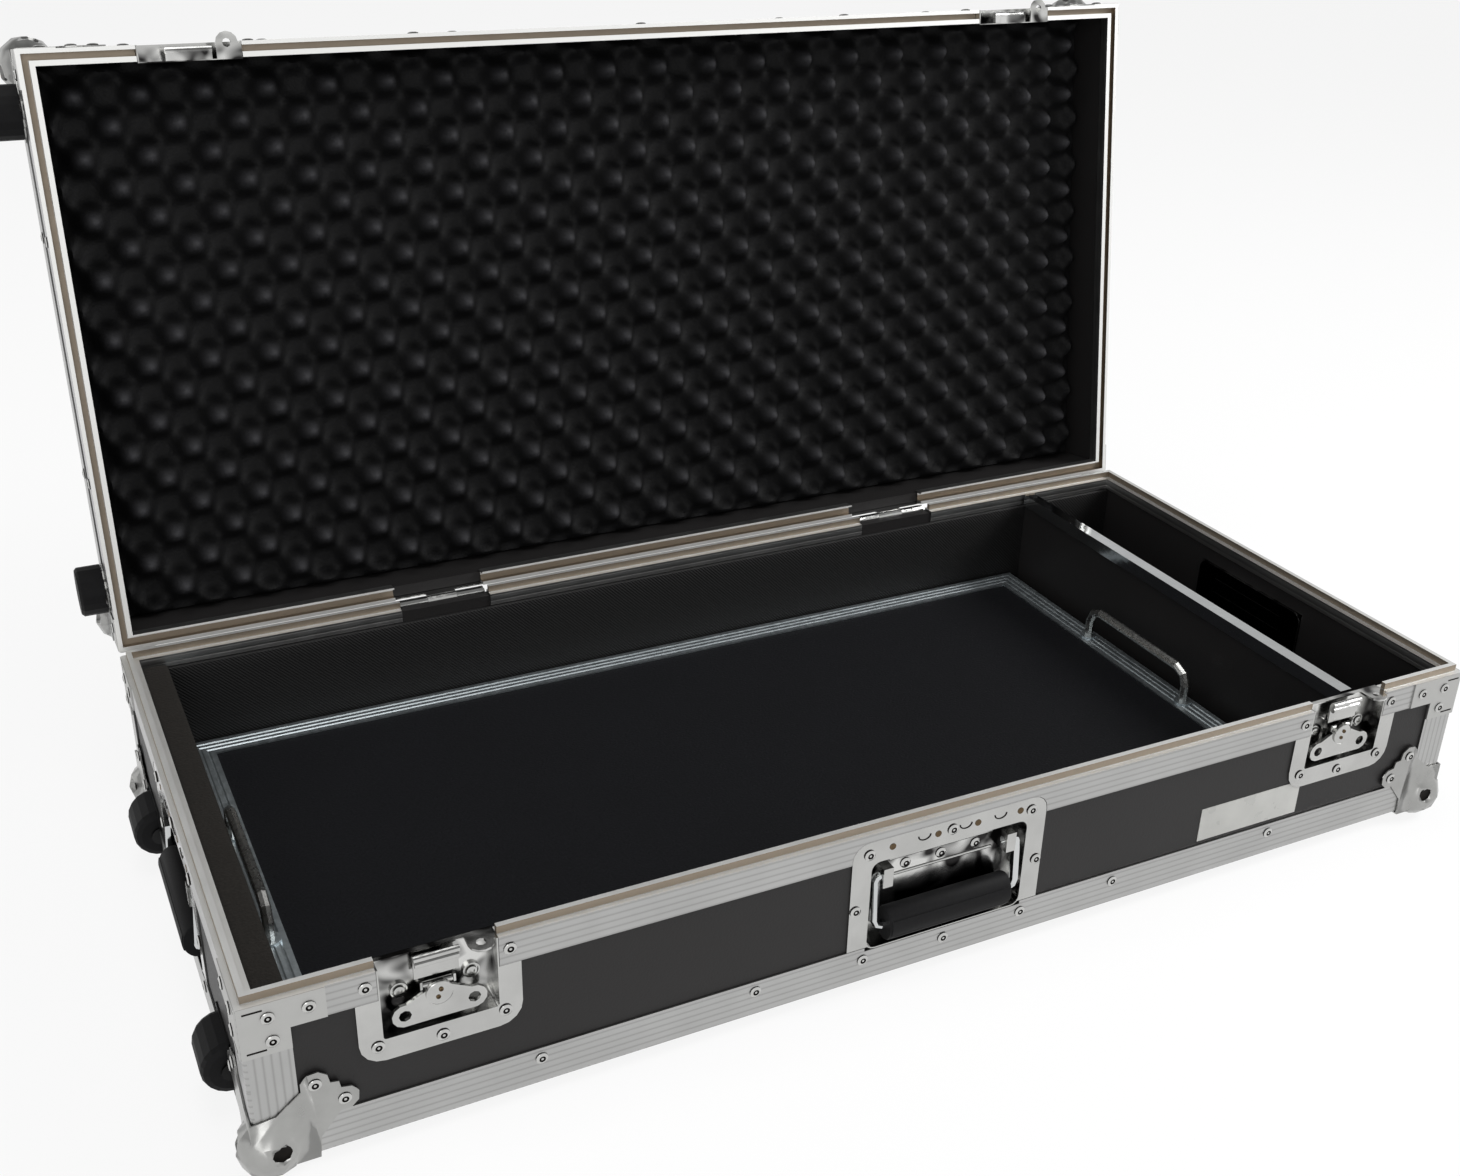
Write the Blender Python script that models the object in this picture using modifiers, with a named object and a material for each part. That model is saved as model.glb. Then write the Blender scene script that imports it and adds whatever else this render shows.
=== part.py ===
"""Guitar pedal case: a plywood flight case with aluminium edges, modelled open.

All lengths are metres. X runs along the case, Y from front to rear, Z up. The
world origin is the middle of the floor panel's underside. The lid is modelled
closed and then swung open about its hinge pins.
"""
from math import cos, hypot, pi, radians, sin, sqrt

import bmesh
import bpy
from mathutils import Matrix, Vector

# The case
LENGTH = 1.000
DEPTH = 0.468
BASE_HEIGHT = 0.129
LID_HEIGHT = 0.075
SEAM = 0.0003
SHEET = 0.0012
PLY = 0.009
GAP = 0.0003
MERGE = 0.00001
OVERRUN = 0.040

# Edge angles and rim sections
ANGLE_LEG = 0.030
ANGLE_ROUND = 0.0025
RIM_LEG = 0.0225
RIM_INNER_LEG = 0.0105
TONGUE_INSET = 0.0035
TONGUE_WIDTH = 0.0040
TONGUE_HEIGHT = 0.006
GROOVE_PLAY = 0.0005

# Ball corners
BALL_RADIUS = 0.022
BALL_INSET = 0.011
BALL_LEG = 0.039
BALL_REACH = 0.0573
BALL_NEAR = 0.040
BALL_LOBE = 0.0095
BALL_TWIST = radians(8)
BALL_DIMPLE_RADIUS = 0.0065
BALL_DIMPLE_AT = 0.0150
BALL_DIMPLE_DEPTH = 0.005
WAIST_NEAR_SHARES = (0.707, 0.253)
WAIST_FAR_SHARES = (0.825, 0.396)
NOTCH_SHARE = 0.955

# Corner braces on the rims
BRACE_ARM = 0.0525
BRACE_ARM_HEIGHT = 0.0225
BRACE_LEG = 0.030
BRACE_HEIGHT = 0.0385
BRACE_ROUND = 0.0025
LID_BRACE_ARM = 0.028

# Pressed dishes
DISH_SHEET = 0.001
DISH_FACE_INSET = 0.0002
DISH_DEPTH = 0.0125

# Butterfly latches
LATCH_FROM_END = 0.1225
LATCH_PLATE_WIDTH = 0.1066
LATCH_PLATE_DEPTH = 0.0705
LATCH_PLATE_ROUND = 0.016
LATCH_OPENING = 0.0754
LATCH_OPENING_DEPTH = 0.0540
LATCH_RIM_GAP = 0.078
LATCH_LIP = 0.0030
BUTTERFLY_BELOW = 0.0313
BUTTERFLY_DISC = 0.009
BUTTERFLY_SHEET = 0.0024
BUTTERFLY_FRONT = 0.003
WING_SPAN = 0.0225
WING_DROP = 0.0117
WING_RADIUS = 0.0085
WING_HOLE = 0.0042
HUB_RADIUS = 0.0055
HUB_RISE = 0.0012
HUB_TOP_SHARE = 0.62
FLIP_INSET = 0.0065
FLIP_BELOW = 0.0255
FLIP_BARREL_RADIUS = 0.0021
CHEEK_AT = 0.0100
CHEEK_SHEET = 0.0015
CHEEK_FRONT = 0.0042
CHEEK_BELOW = 0.0275
BRACKET_WIDTH = 0.025
BRACKET_FOOT_BELOW = 0.0455
BRACKET_HEAD_BELOW = 0.0205
CLAW_WIDTH = 0.029
CLAW_FOOT_BELOW = 0.0195
CLAW_HEAD_BELOW = 0.0028
CLAW_SHEET = 0.0014
CLAW_INSET = 0.0063
CLAW_BAR_RADIUS = 0.0023
CLAW_BAR_PITCH = 0.0043
CLAW_BAR_INSET = 0.0046
CLAW_PLATE_DROP = 0.0008
CLAW_LEG_AT = 0.0084
CLAW_LEG_WIDTH = 0.0020
CLAW_LEG_BELOW = 0.0340
CLAW_STEP = 0.0030
LID_DISH_HEIGHT = 0.022
LID_DISH_MARGIN = 0.012
KEEPER_WIDTH = 0.034
KEEPER_RISE = 0.0075
KEEPER_RADIUS = 0.0022
KEEPER_INSET = 0.0052
LUG_AT = 0.028
LUG_RADIUS = 0.0085
LUG_REACH = 0.0075
LUG_HOLE = 0.0034
LUG_SHEET = 0.0016

# Recessed spring handles
HANDLE_PLATE_WIDTH = 0.164
HANDLE_PLATE_BELOW = 0.0070
HANDLE_PLATE_ROUND = 0.013
HANDLE_OPENING = 0.132
HANDLE_OPENING_LOW = 0.0285
HANDLE_OPENING_BELOW = 0.0255
HANDLE_OPENING_ROUND = 0.008
PIVOT_BELOW = 0.0410
PIVOT_INSET = 0.004
BAIL_RADIUS = 0.0034
BAIL_LEG_AT = 0.060
BAIL_BEND = 0.0055
CLAMP_WIDTH = 0.0080
CLAMP_HEIGHT = 0.016
CLAMP_FRONT = 0.0012
GRIP_LENGTH = 0.1080
GRIP_HEIGHT = 0.047
GRIP_INSET = 0.001
GRIP_HALF_HEIGHT = 0.0138
GRIP_HALF_DEPTH = 0.0104
GRIP_GROOVE_SHARE = 0.90
GRIP_END_SHARE = 0.72
GRIP_RIBS = 9

# Rollers on the left end
WHEEL_FROM_END = 0.0905
WHEEL_HEIGHT = 0.0245
WHEEL_INSET = 0.001
WHEEL_RADIUS = 0.020
WHEEL_WIDTH = 0.041
WHEEL_EDGE = 0.005
WHEEL_PLAY = 0.0005
WHEEL_CLEARANCE = 0.0015
WHEEL_EAR = 0.0075
WHEEL_SHEET = 0.0015
AXLE_RADIUS = 0.003

# Hinges
HINGE_SHARE = 0.23
HINGE_GAP = 0.080
PIN_BEHIND = 0.004
PIN_BELOW = 0.003
PIN_RADIUS = 0.0023
PIN_PLAY = 0.0003
KNUCKLE_RADIUS = 0.0046
KNUCKLE_INNER = 0.0135
KNUCKLE_OUTER = 0.0380
LEAF_HEIGHT = 0.030
LID_OPEN = radians(98.8)

# Linings, divider and board
LINING = 0.0042
LINING_BELOW = 0.0110
LEFT_PAD = 0.022
LEFT_PAD_BELOW = 0.0050
DIVIDER_FROM_END = 0.1135
DIVIDER_THICK = 0.008
DIVIDER_RISE = 0.001
CAP_LEG = 0.012
CAP_SHEET = 0.0015
BOARD_LEFT = 0.0365
BOARD_FROM_DIVIDER = 0.0165
BOARD_FRONT = 0.0175
BOARD_TOP = 0.045
BOARD_DECK = 0.0130
TRIM_WIDTH = 0.022
TRIM_SHEET = 0.0015
TRIM_RIDGES = 3
TRIM_RIDGE = 0.0012
LOOP_AT = 0.0105
LOOP_SPAN = 0.138
LOOP_HEIGHT = 0.034
LOOP_RADIUS = 0.004
LOOP_BEND = 0.014
LOOP_FOOT = 0.008
LOOP_FOOT_HEIGHT = 0.0016
LOOP_TWIST = radians(7)

# Lid fittings
FOAM_BASE = 0.012
FOAM_PEAK = 0.028
FOAM_PITCH = 0.050
FOAM_ROW = 0.0235
FOOT_RADIUS = 0.0205
FOOT_HEIGHT = 0.020
FOOT_FROM_EDGE = 0.044
FOOT_FROM_RIM = 0.040
FOOT_ROUND = 0.002

# Fineness of round shapes
ROUND_SIDES = 20
SMALL_SIDES = 12
DOME_SIDES = 12
ARC_STEPS = 4
LOBE_STEPS = 5

# Sizes that follow from the ones above
LATCH_AT = LENGTH / 2 - LATCH_FROM_END
LATCH_PLATE_LOW = BASE_HEIGHT - LATCH_PLATE_DEPTH
LATCH_OPENING_LOW = BASE_HEIGHT - LATCH_OPENING_DEPTH
BUTTERFLY_CENTRE = BASE_HEIGHT - BUTTERFLY_BELOW
FLIP_HEIGHT = BASE_HEIGHT - FLIP_BELOW
CHEEK_LOW = BASE_HEIGHT - CHEEK_BELOW
BRACKET_LOW = BASE_HEIGHT - BRACKET_FOOT_BELOW
BRACKET_HIGH = BASE_HEIGHT - BRACKET_HEAD_BELOW
CLAW_LOW = BASE_HEIGHT - CLAW_FOOT_BELOW
CLAW_HIGH = BASE_HEIGHT - CLAW_HEAD_BELOW
CLAW_LEG_LOW = BASE_HEIGHT - CLAW_LEG_BELOW
HANDLE_PLATE_HIGH = BASE_HEIGHT - HANDLE_PLATE_BELOW
HANDLE_OPENING_HIGH = BASE_HEIGHT - HANDLE_OPENING_BELOW
PIVOT_HEIGHT = BASE_HEIGHT - PIVOT_BELOW
WHEEL_AT = DEPTH / 2 - WHEEL_FROM_END
LINING_TOP = BASE_HEIGHT - LINING_BELOW
LEFT_PAD_TOP = BASE_HEIGHT - LEFT_PAD_BELOW
DIVIDER_AT = LENGTH - DIVIDER_FROM_END
HINGE_AT = LENGTH * HINGE_SHARE
DIVIDER_TOP = BASE_HEIGHT + DIVIDER_RISE
BOARD_RIGHT = DIVIDER_AT - BOARD_FROM_DIVIDER
BOARD_REAR = DEPTH - BOARD_FRONT
PLY_OUT = SHEET + GAP
PLY_IN = PLY_OUT + PLY
INNER = PLY_IN + GAP + SHEET
PAN = DISH_DEPTH + DISH_SHEET
LID_RIM = BASE_HEIGHT + SEAM
LID_TOP = LID_RIM + LID_HEIGHT
PIN_HEIGHT = BASE_HEIGHT - PIN_BELOW
WALL_TOP = BASE_HEIGHT - SHEET - GAP
GROOVE_OUT = TONGUE_INSET - GROOVE_PLAY
GROOVE_IN = TONGUE_INSET + TONGUE_WIDTH + GROOVE_PLAY
GROOVE_DEPTH = TONGUE_HEIGHT + GROOVE_PLAY
LID_WALL_LOW = LID_RIM + GROOVE_DEPTH + SHEET + GAP
FLOOR_PAD_TOP = BOARD_TOP - BOARD_DECK - GAP
TONGUE_SWEEP = hypot(PIN_BEHIND + TONGUE_INSET + TONGUE_WIDTH, PIN_BELOW + TONGUE_HEIGHT)
REAR_GROOVE_IN = sqrt(TONGUE_SWEEP ** 2 - (PIN_BELOW + SEAM) ** 2) - PIN_BEHIND + GAP

# Colours as linear values, with metallic and roughness
FINISHES = {
    "panel": ((0.035, 0.033, 0.033), 0.0, 0.55),
    "aluminium": ((0.40, 0.39, 0.37), 1.0, 0.38),
    "plated_steel": ((0.52, 0.51, 0.48), 1.0, 0.30),
    "corner_steel": ((0.38, 0.38, 0.37), 1.0, 0.36),
    "dark_steel": ((0.05, 0.05, 0.05), 0.8, 0.45),
    "chrome": ((0.60, 0.60, 0.60), 1.0, 0.12),
    "rubber": ((0.012, 0.012, 0.012), 0.0, 0.65),
    "foam": ((0.030, 0.030, 0.031), 0.0, 0.95),
    "carpet": ((0.009, 0.010, 0.012), 0.0, 0.95),
}

SIDES = {
    "front": (Vector((0, 1, 0)), DEPTH / 2, LENGTH / 2),
    "right": (Vector((-1, 0, 0)), LENGTH / 2, DEPTH / 2),
    "rear": (Vector((0, -1, 0)), DEPTH / 2, LENGTH / 2),
    "left": (Vector((1, 0, 0)), LENGTH / 2, DEPTH / 2),
}
UP = Vector((0, 0, 1))

# The underside of the floor panel is the world's zero height
CASE = Matrix.Translation((0, 0, -PLY_OUT))


# Starting clean

for old in list(bpy.data.objects):
    bpy.data.objects.remove(old, do_unlink=True)

parts = bpy.data.collections.new("guitar_pedal_case")
bpy.context.scene.collection.children.link(parts)
workbench = bpy.data.collections.new("cutters")
bpy.context.scene.collection.children.link(workbench)


# Frames to model in

def axes(first, second, third, origin):
    """Matrix with these three directions as its axes."""
    matrix = Matrix.Identity(4)
    for column, direction in enumerate((first, second, third, origin)):
        for row in range(3):
            matrix[row][column] = direction[row]
    return matrix


def wall(side):
    """A wall's outer face: X along it, Y up from the case's underside, Z outward."""
    inward, reach, _ = SIDES[side]
    return CASE @ axes(inward.cross(UP), UP, -inward, -inward * reach)


def section(side):
    """A wall's section: X inward from the outer face, Y up, Z along the wall."""
    inward, reach, _ = SIDES[side]
    return CASE @ axes(inward, UP, inward.cross(UP), -inward * reach)


# Basic solids

def finished_mesh(name, form):
    """Turn a bmesh into an object on the workbench."""
    mesh = bpy.data.meshes.new(name)
    form.to_mesh(mesh)
    form.free()
    piece = bpy.data.objects.new(name, mesh)
    workbench.objects.link(piece)
    return piece


def block(low, high, place=CASE, name="block"):
    """A box between two corners."""
    form = bmesh.new()
    bmesh.ops.create_cube(form, size=1)
    low = Vector(low)
    high = Vector(high)
    middle = Matrix.Translation((low + high) / 2)
    spread = Matrix.Diagonal((*(high - low), 1))
    bmesh.ops.transform(form, matrix=place @ middle @ spread, verts=form.verts)
    return finished_mesh(name, form)


def extrude(outlines, low, high, place=CASE, name="plate"):
    """A plate with this outline and these holes, from one height to another."""
    curve = bpy.data.curves.new(name, "CURVE")
    curve.dimensions = "2D"
    curve.fill_mode = "BOTH"
    curve.extrude = (high - low) / 2
    for outline in outlines:
        spline = curve.splines.new("POLY")
        spline.points.add(len(outline) - 1)
        for point, (x, y) in zip(spline.points, outline):
            point.co = (x, y, 0, 1)
        spline.use_cyclic_u = True
    holder = bpy.data.objects.new(name, curve)
    workbench.objects.link(holder)
    mesh = bpy.data.meshes.new_from_object(holder.evaluated_get(bpy.context.evaluated_depsgraph_get()))
    bpy.data.objects.remove(holder)
    bpy.data.curves.remove(curve)
    form = bmesh.new()
    form.from_mesh(mesh)
    bpy.data.meshes.remove(mesh)
    bmesh.ops.remove_doubles(form, verts=form.verts, dist=MERGE)
    lift = Matrix.Translation((0, 0, (low + high) / 2))
    bmesh.ops.transform(form, matrix=place @ lift, verts=form.verts)
    bmesh.ops.recalc_face_normals(form, faces=form.faces)
    return finished_mesh(name, form)


def rod(route, radius, place=CASE, closed=False, name="rod"):
    """A round wire along a route."""
    curve = bpy.data.curves.new(name, "CURVE")
    curve.dimensions = "3D"
    curve.bevel_depth = radius
    curve.bevel_resolution = 2
    curve.use_fill_caps = not closed
    spline = curve.splines.new("POLY")
    spline.points.add(len(route) - 1)
    for point, (x, y, z) in zip(spline.points, route):
        point.co = (x, y, z, 1)
    spline.use_cyclic_u = closed
    holder = bpy.data.objects.new(name, curve)
    workbench.objects.link(holder)
    mesh = bpy.data.meshes.new_from_object(holder.evaluated_get(bpy.context.evaluated_depsgraph_get()))
    bpy.data.objects.remove(holder)
    bpy.data.curves.remove(curve)
    form = bmesh.new()
    form.from_mesh(mesh)
    bpy.data.meshes.remove(mesh)
    bmesh.ops.remove_doubles(form, verts=form.verts, dist=MERGE)
    bmesh.ops.transform(form, matrix=place, verts=form.verts)
    bmesh.ops.recalc_face_normals(form, faces=form.faces)
    return finished_mesh(name, form)


def cylinder(radius, low, high, place, sides=ROUND_SIDES, top_radius=None, name="cylinder"):
    """A cylinder or cone along its frame's Z."""
    form = bmesh.new()
    far = radius if top_radius is None else top_radius
    bmesh.ops.create_cone(form, cap_ends=True, segments=sides, radius1=radius, radius2=far,
                          depth=high - low)
    lift = Matrix.Translation((0, 0, (low + high) / 2))
    bmesh.ops.transform(form, matrix=place @ lift, verts=form.verts)
    return finished_mesh(name, form)


def turned(profile, place, sides=ROUND_SIDES, name="turned"):
    """A turned piece: the profile's radii and heights, from the top down its outer side."""
    form = bmesh.new()
    points = [form.verts.new((radius, 0, height)) for radius, height in profile]
    for first, second in zip(points, points[1:]):
        form.edges.new((first, second))
    piece = finished_mesh(name, form)
    screw = piece.modifiers.new("turn", "SCREW")
    screw.steps = sides
    screw.render_steps = sides
    screw.use_merge_vertices = True
    screw.merge_threshold = MERGE
    settle(piece)
    piece.data.transform(place)
    return piece


def settle(piece):
    """Apply the modifiers of a piece."""
    depsgraph = bpy.context.evaluated_depsgraph_get()
    mesh = bpy.data.meshes.new_from_object(piece.evaluated_get(depsgraph))
    piece.modifiers.clear()
    old_mesh = piece.data
    piece.data = mesh
    bpy.data.meshes.remove(old_mesh)


def combine(piece, tools, operation):
    """Boolean a piece with each tool and use the tools up."""
    for tool in tools:
        tool.hide_render = True
        tool.display_type = "WIRE"
        modifier = piece.modifiers.new(operation, "BOOLEAN")
        modifier.operation = operation
        modifier.object = tool
    settle(piece)
    for tool in tools:
        bpy.data.objects.remove(tool, do_unlink=True)
    return piece


def cut(piece, *tools):
    return combine(piece, tools, "DIFFERENCE")


def fuse(piece, *tools):
    return combine(piece, tools, "UNION")


def moved(piece, move):
    """A piece carried to another frame, turned right side out if that mirrors it."""
    piece.data.transform(move)
    if move.determinant() < 0:
        piece.data.flip_normals()
    return piece


def node(name, piece, finish):
    """Name a finished sub-part, give it its material and put it with the parts."""
    piece.name = name
    piece.data.name = name
    colour, metallic, roughness = FINISHES[finish]
    material = bpy.data.materials.new(name)
    material.use_nodes = True
    shader = material.node_tree.nodes["Principled BSDF"]
    shader.inputs["Base Color"].default_value = (*colour, 1)
    shader.inputs["Metallic"].default_value = metallic
    shader.inputs["Roughness"].default_value = roughness
    material.diffuse_color = (*colour, 1)
    piece.data.materials.clear()
    piece.data.materials.append(material)
    piece.hide_render = False
    piece.display_type = "TEXTURED"
    workbench.objects.unlink(piece)
    parts.objects.link(piece)
    if metallic or finish in ("rubber", "foam"):
        piece.data.shade_smooth()
        piece.data.set_sharp_from_angle(angle=radians(35))
    return piece


def pivot(name, place):
    """An empty on a joint's axis."""
    empty = bpy.data.objects.new(name, None)
    empty.location = place
    parts.objects.link(empty)
    bpy.context.view_layer.update()
    return empty


def carry(empty, pieces):
    """Hang pieces, modelled where they rest, on a joint's empty."""
    for piece in pieces:
        piece.parent = empty
        piece.matrix_parent_inverse = empty.matrix_world.inverted()


# Outlines

def arc(centre, radius, start, end, steps=ARC_STEPS):
    """Points along an arc, its angles in degrees."""
    points = []
    for step in range(steps + 1):
        angle = radians(start + (end - start) * step / steps)
        points.append((centre[0] + radius * cos(angle), centre[1] + radius * sin(angle)))
    return points


def rounded(low, high, lower_round, upper_round):
    """A rectangle whose lower and upper corners have their own radii, zero for square ones."""
    outline = []
    corners = ((high[0], low[1], lower_round, -90), (high[0], high[1], upper_round, 0),
               (low[0], high[1], upper_round, 90), (low[0], low[1], lower_round, 180))
    for x, y, radius, start in corners:
        if radius == 0:
            outline.append((x, y))
            continue
        inner_x = x - radius if x == high[0] else x + radius
        inner_y = y - radius if y == high[1] else y + radius
        outline += arc((inner_x, inner_y), radius, start, start + 90)
    return outline


def angle_outline():
    """Section of an edge angle with a rounded outer edge at its origin."""
    return (arc((ANGLE_ROUND, ANGLE_ROUND), ANGLE_ROUND, 180, 270, 3)
            + [(ANGLE_LEG, 0), (ANGLE_LEG, SHEET), (SHEET, SHEET), (SHEET, ANGLE_LEG), (0, ANGLE_LEG)])


def base_rim_outline():
    """Section of the base rim: inset across, height from the shoulder up."""
    tongue_in = TONGUE_INSET + TONGUE_WIDTH
    return [(0, -RIM_LEG), (SHEET, -RIM_LEG), (SHEET, -SHEET), (INNER - SHEET, -SHEET),
            (INNER - SHEET, -RIM_INNER_LEG), (INNER, -RIM_INNER_LEG), (INNER, 0), (tongue_in, 0),
            (tongue_in, TONGUE_HEIGHT), (TONGUE_INSET, TONGUE_HEIGHT), (TONGUE_INSET, 0), (0, 0)]


def lid_rim_outline(groove_in):
    """Section of the lid rim: inset across, height from the parting line up."""
    roof = GROOVE_DEPTH + SHEET
    return [(0, 0), (GROOVE_OUT, 0), (GROOVE_OUT, GROOVE_DEPTH), (groove_in, GROOVE_DEPTH),
            (groove_in, 0), (INNER, 0), (INNER, RIM_INNER_LEG), (INNER - SHEET, RIM_INNER_LEG),
            (INNER - SHEET, roof), (SHEET, roof), (SHEET, RIM_LEG), (0, RIM_LEG)]


def ball_outline(fold):
    """Face outline of a ball corner, from where its leaves fold to its two lobes."""
    near = (WAIST_NEAR_SHARES[0] * BALL_REACH, WAIST_NEAR_SHARES[1] * BALL_REACH)
    far = (WAIST_FAR_SHARES[0] * BALL_REACH, WAIST_FAR_SHARES[1] * BALL_REACH)
    notch = NOTCH_SHARE * BALL_REACH
    half = [(BALL_LEG, fold), near, far] + arc((BALL_REACH, BALL_NEAR), BALL_LOBE, -110, 100, LOBE_STEPS)
    other = [(y, x) for x, y in reversed(half)]
    return [(fold, fold)] + half + [(notch, notch)] + other


# Ball corners, braces and their places

def three_ways():
    """The turns that carry one face of a corner to its three faces."""
    turn = Matrix(((0, 0, 1, 0), (1, 0, 0, 0), (0, 1, 0, 0), (0, 0, 0, 1)))
    return Matrix.Identity(4), turn, turn @ turn


def ball_corner(frame):
    """One ball corner over the edges, with its dome and dimples."""
    outer = -GAP - SHEET
    plates = [extrude([ball_outline(outer)], outer, -GAP, turn) for turn in three_ways()]
    corner, *others = plates
    form = bmesh.new()
    bmesh.ops.create_uvsphere(form, u_segments=DOME_SIDES, v_segments=DOME_SIDES // 2, radius=BALL_RADIUS)
    place = Matrix.Translation((BALL_INSET, BALL_INSET, BALL_INSET)) @ Matrix.Rotation(BALL_TWIST, 4, "Z")
    bmesh.ops.transform(form, matrix=place, verts=form.verts)
    fuse(corner, *others, finished_mesh("dome", form))
    cut(corner, block((-GAP, -GAP, -GAP), (OVERRUN * 2, OVERRUN * 2, OVERRUN * 2), Matrix.Identity(4)))
    top = BALL_RADIUS - BALL_INSET
    dimple = Matrix.Translation((BALL_DIMPLE_AT, BALL_DIMPLE_AT, 0))
    cut(corner, *[cylinder(BALL_DIMPLE_RADIUS, -top - OVERRUN, BALL_DIMPLE_DEPTH - top, turn @ dimple,
                           DOME_SIDES * 2 // 3) for turn in three_ways()])
    return moved(corner, frame)


def corner_frames(height, upward):
    """The four corners at a height by name, each with axes that run into the case."""
    frames = {}
    for row, side_y in (("front", -1), ("rear", 1)):
        for end, side_x in (("left", -1), ("right", 1)):
            point = Matrix.Translation((side_x * LENGTH / 2, side_y * DEPTH / 2, height))
            frames[row + "_" + end] = CASE @ point @ Matrix.Diagonal((-side_x, -side_y, upward, 1))
    return frames


def corner_brace(arm):
    """A folded corner brace below a rim, its fold along Z, from its corner point inward."""
    outer = -SHEET
    seat = SHEET / 4
    fold = arc((outer + BRACE_ROUND, outer + BRACE_ROUND), BRACE_ROUND, 180, 270, 3)
    outline = fold + [(arm, outer), (arm, seat), (seat, seat), (seat, arm), (outer, arm)]
    brace = extrude([outline], 0, BRACE_HEIGHT, Matrix.Identity(4))
    far = BRACE_ARM + OVERRUN
    along_x = block((BRACE_LEG, -OVERRUN, BRACE_ARM_HEIGHT), (far, OVERRUN, BRACE_HEIGHT + OVERRUN),
                    Matrix.Identity(4))
    along_y = block((-OVERRUN, BRACE_LEG, BRACE_ARM_HEIGHT), (OVERRUN, far, BRACE_HEIGHT + OVERRUN),
                    Matrix.Identity(4))
    return cut(brace, along_x, along_y)


# Walls and their edges

def slot(side, centre, half_width, low, high, name="slot"):
    """A cutter right through a wall."""
    return block((centre - half_width, low, -OVERRUN), (centre + half_width, high, OVERRUN),
                 wall(side), name)


def framed(outline, half_x, half_y, place, name="frame"):
    """A section run round a rectangle with mitred corners: inset across, height up."""
    form = bmesh.new()
    rings = []
    for inset, height in outline:
        x = half_x - inset
        y = half_y - inset
        rings.append([form.verts.new(corner) for corner in
                      ((-x, -y, height), (x, -y, height), (x, y, height), (-x, y, height))])
    for ring, after in zip(rings, rings[1:] + rings[:1]):
        for corner in range(4):
            following = (corner + 1) % 4
            form.faces.new((ring[corner], ring[following], after[following], after[corner]))
    bmesh.ops.transform(form, matrix=place, verts=form.verts)
    bmesh.ops.recalc_face_normals(form, faces=form.faces)
    return finished_mesh(name, form)


def case_frame(outline, height):
    """A section run round the case at a height."""
    return framed(outline, LENGTH / 2, DEPTH / 2, CASE @ Matrix.Translation((0, 0, height)))


def handle_notch(side):
    """Room in a rim's flange for the top of a handle's plate, which lies flush in it."""
    half = HANDLE_PLATE_WIDTH / 2 + GAP
    outline = rounded((-half, ANGLE_LEG + GAP), (half, HANDLE_PLATE_HIGH + GAP), 0, HANDLE_PLATE_ROUND)
    return extrude([outline], -PLY_OUT, OVERRUN, wall(side))


def rim_length(outline, side, height, half):
    """A straight length of rim in the middle of a wall."""
    return extrude([outline], -half, half, section(side) @ Matrix.Translation((0, height, 0)))


def corner_angle(low, high, frame):
    """An upright edge angle at a corner."""
    return moved(extrude([angle_outline()], low, high, Matrix.Identity(4)), frame)


def walls(low, high):
    """Four wall panels: the long ones run past the short ones."""
    panels = {}
    for side, (_, _, half) in SIDES.items():
        end = PLY_OUT if side in ("front", "rear") else PLY_IN + GAP
        panels[side] = block((-half + end, low, -PLY_IN), (half - end, high, -PLY_OUT), wall(side))
    return panels


# Dishes pressed into the walls

def bracket(frame):
    """The channel riveted in a latch dish, which holds the butterfly and guides the claw."""
    floor = -DISH_DEPTH - DISH_SHEET / 2
    half = BRACKET_WIDTH / 2
    pieces = [block((-half, BRACKET_LOW, floor), (half, BRACKET_HIGH, SHEET - DISH_DEPTH), frame)]
    for end in (-1, 1):
        near = end * CHEEK_AT
        far = end * (CHEEK_AT + CHEEK_SHEET)
        pieces.append(block((min(near, far), CHEEK_LOW, floor),
                            (max(near, far), BRACKET_HIGH - SHEET, -CHEEK_FRONT), frame))
    return pieces


def base_latch_dish(centre):
    """The base's half of a recessed latch, open at its top."""
    frame = wall("front") @ Matrix.Translation((centre, 0, 0))
    half_plate = LATCH_PLATE_WIDTH / 2
    half_pan = LATCH_RIM_GAP / 2 - GAP
    low = LATCH_PLATE_LOW
    shoulder = BASE_HEIGHT - RIM_LEG - GAP
    corner = LATCH_PLATE_ROUND
    plate = extrude([rounded((-half_plate, low), (half_plate, shoulder), corner, 0)],
                    -DISH_FACE_INSET - DISH_SHEET, -DISH_FACE_INSET, frame)
    pan_low = LATCH_OPENING_LOW - DISH_SHEET
    pan = extrude([rounded((-half_pan, pan_low), (half_pan, BASE_HEIGHT), DISH_SHEET * 3, 0)],
                  -PAN, -DISH_FACE_INSET, frame)
    fuse(plate, pan)
    half = LATCH_OPENING / 2
    hollow = extrude([rounded((-half, LATCH_OPENING_LOW), (half, BASE_HEIGHT - DISH_SHEET),
                              DISH_SHEET * 2, 0)], -DISH_DEPTH, OVERRUN, frame)
    mouth = block((-half, BASE_HEIGHT / 2 + LATCH_OPENING_LOW / 2, LATCH_LIP - DISH_DEPTH),
                  (half, BASE_HEIGHT + OVERRUN, OVERRUN), frame)
    cut(plate, hollow, mouth)
    lug_flat = frame @ Matrix.Translation((LUG_AT, BASE_HEIGHT, 0)) @ Matrix.Rotation(pi / 2, 4, "X")
    return fuse(plate, padlock_lug(lug_flat, half - LUG_AT), *bracket(frame))


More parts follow.
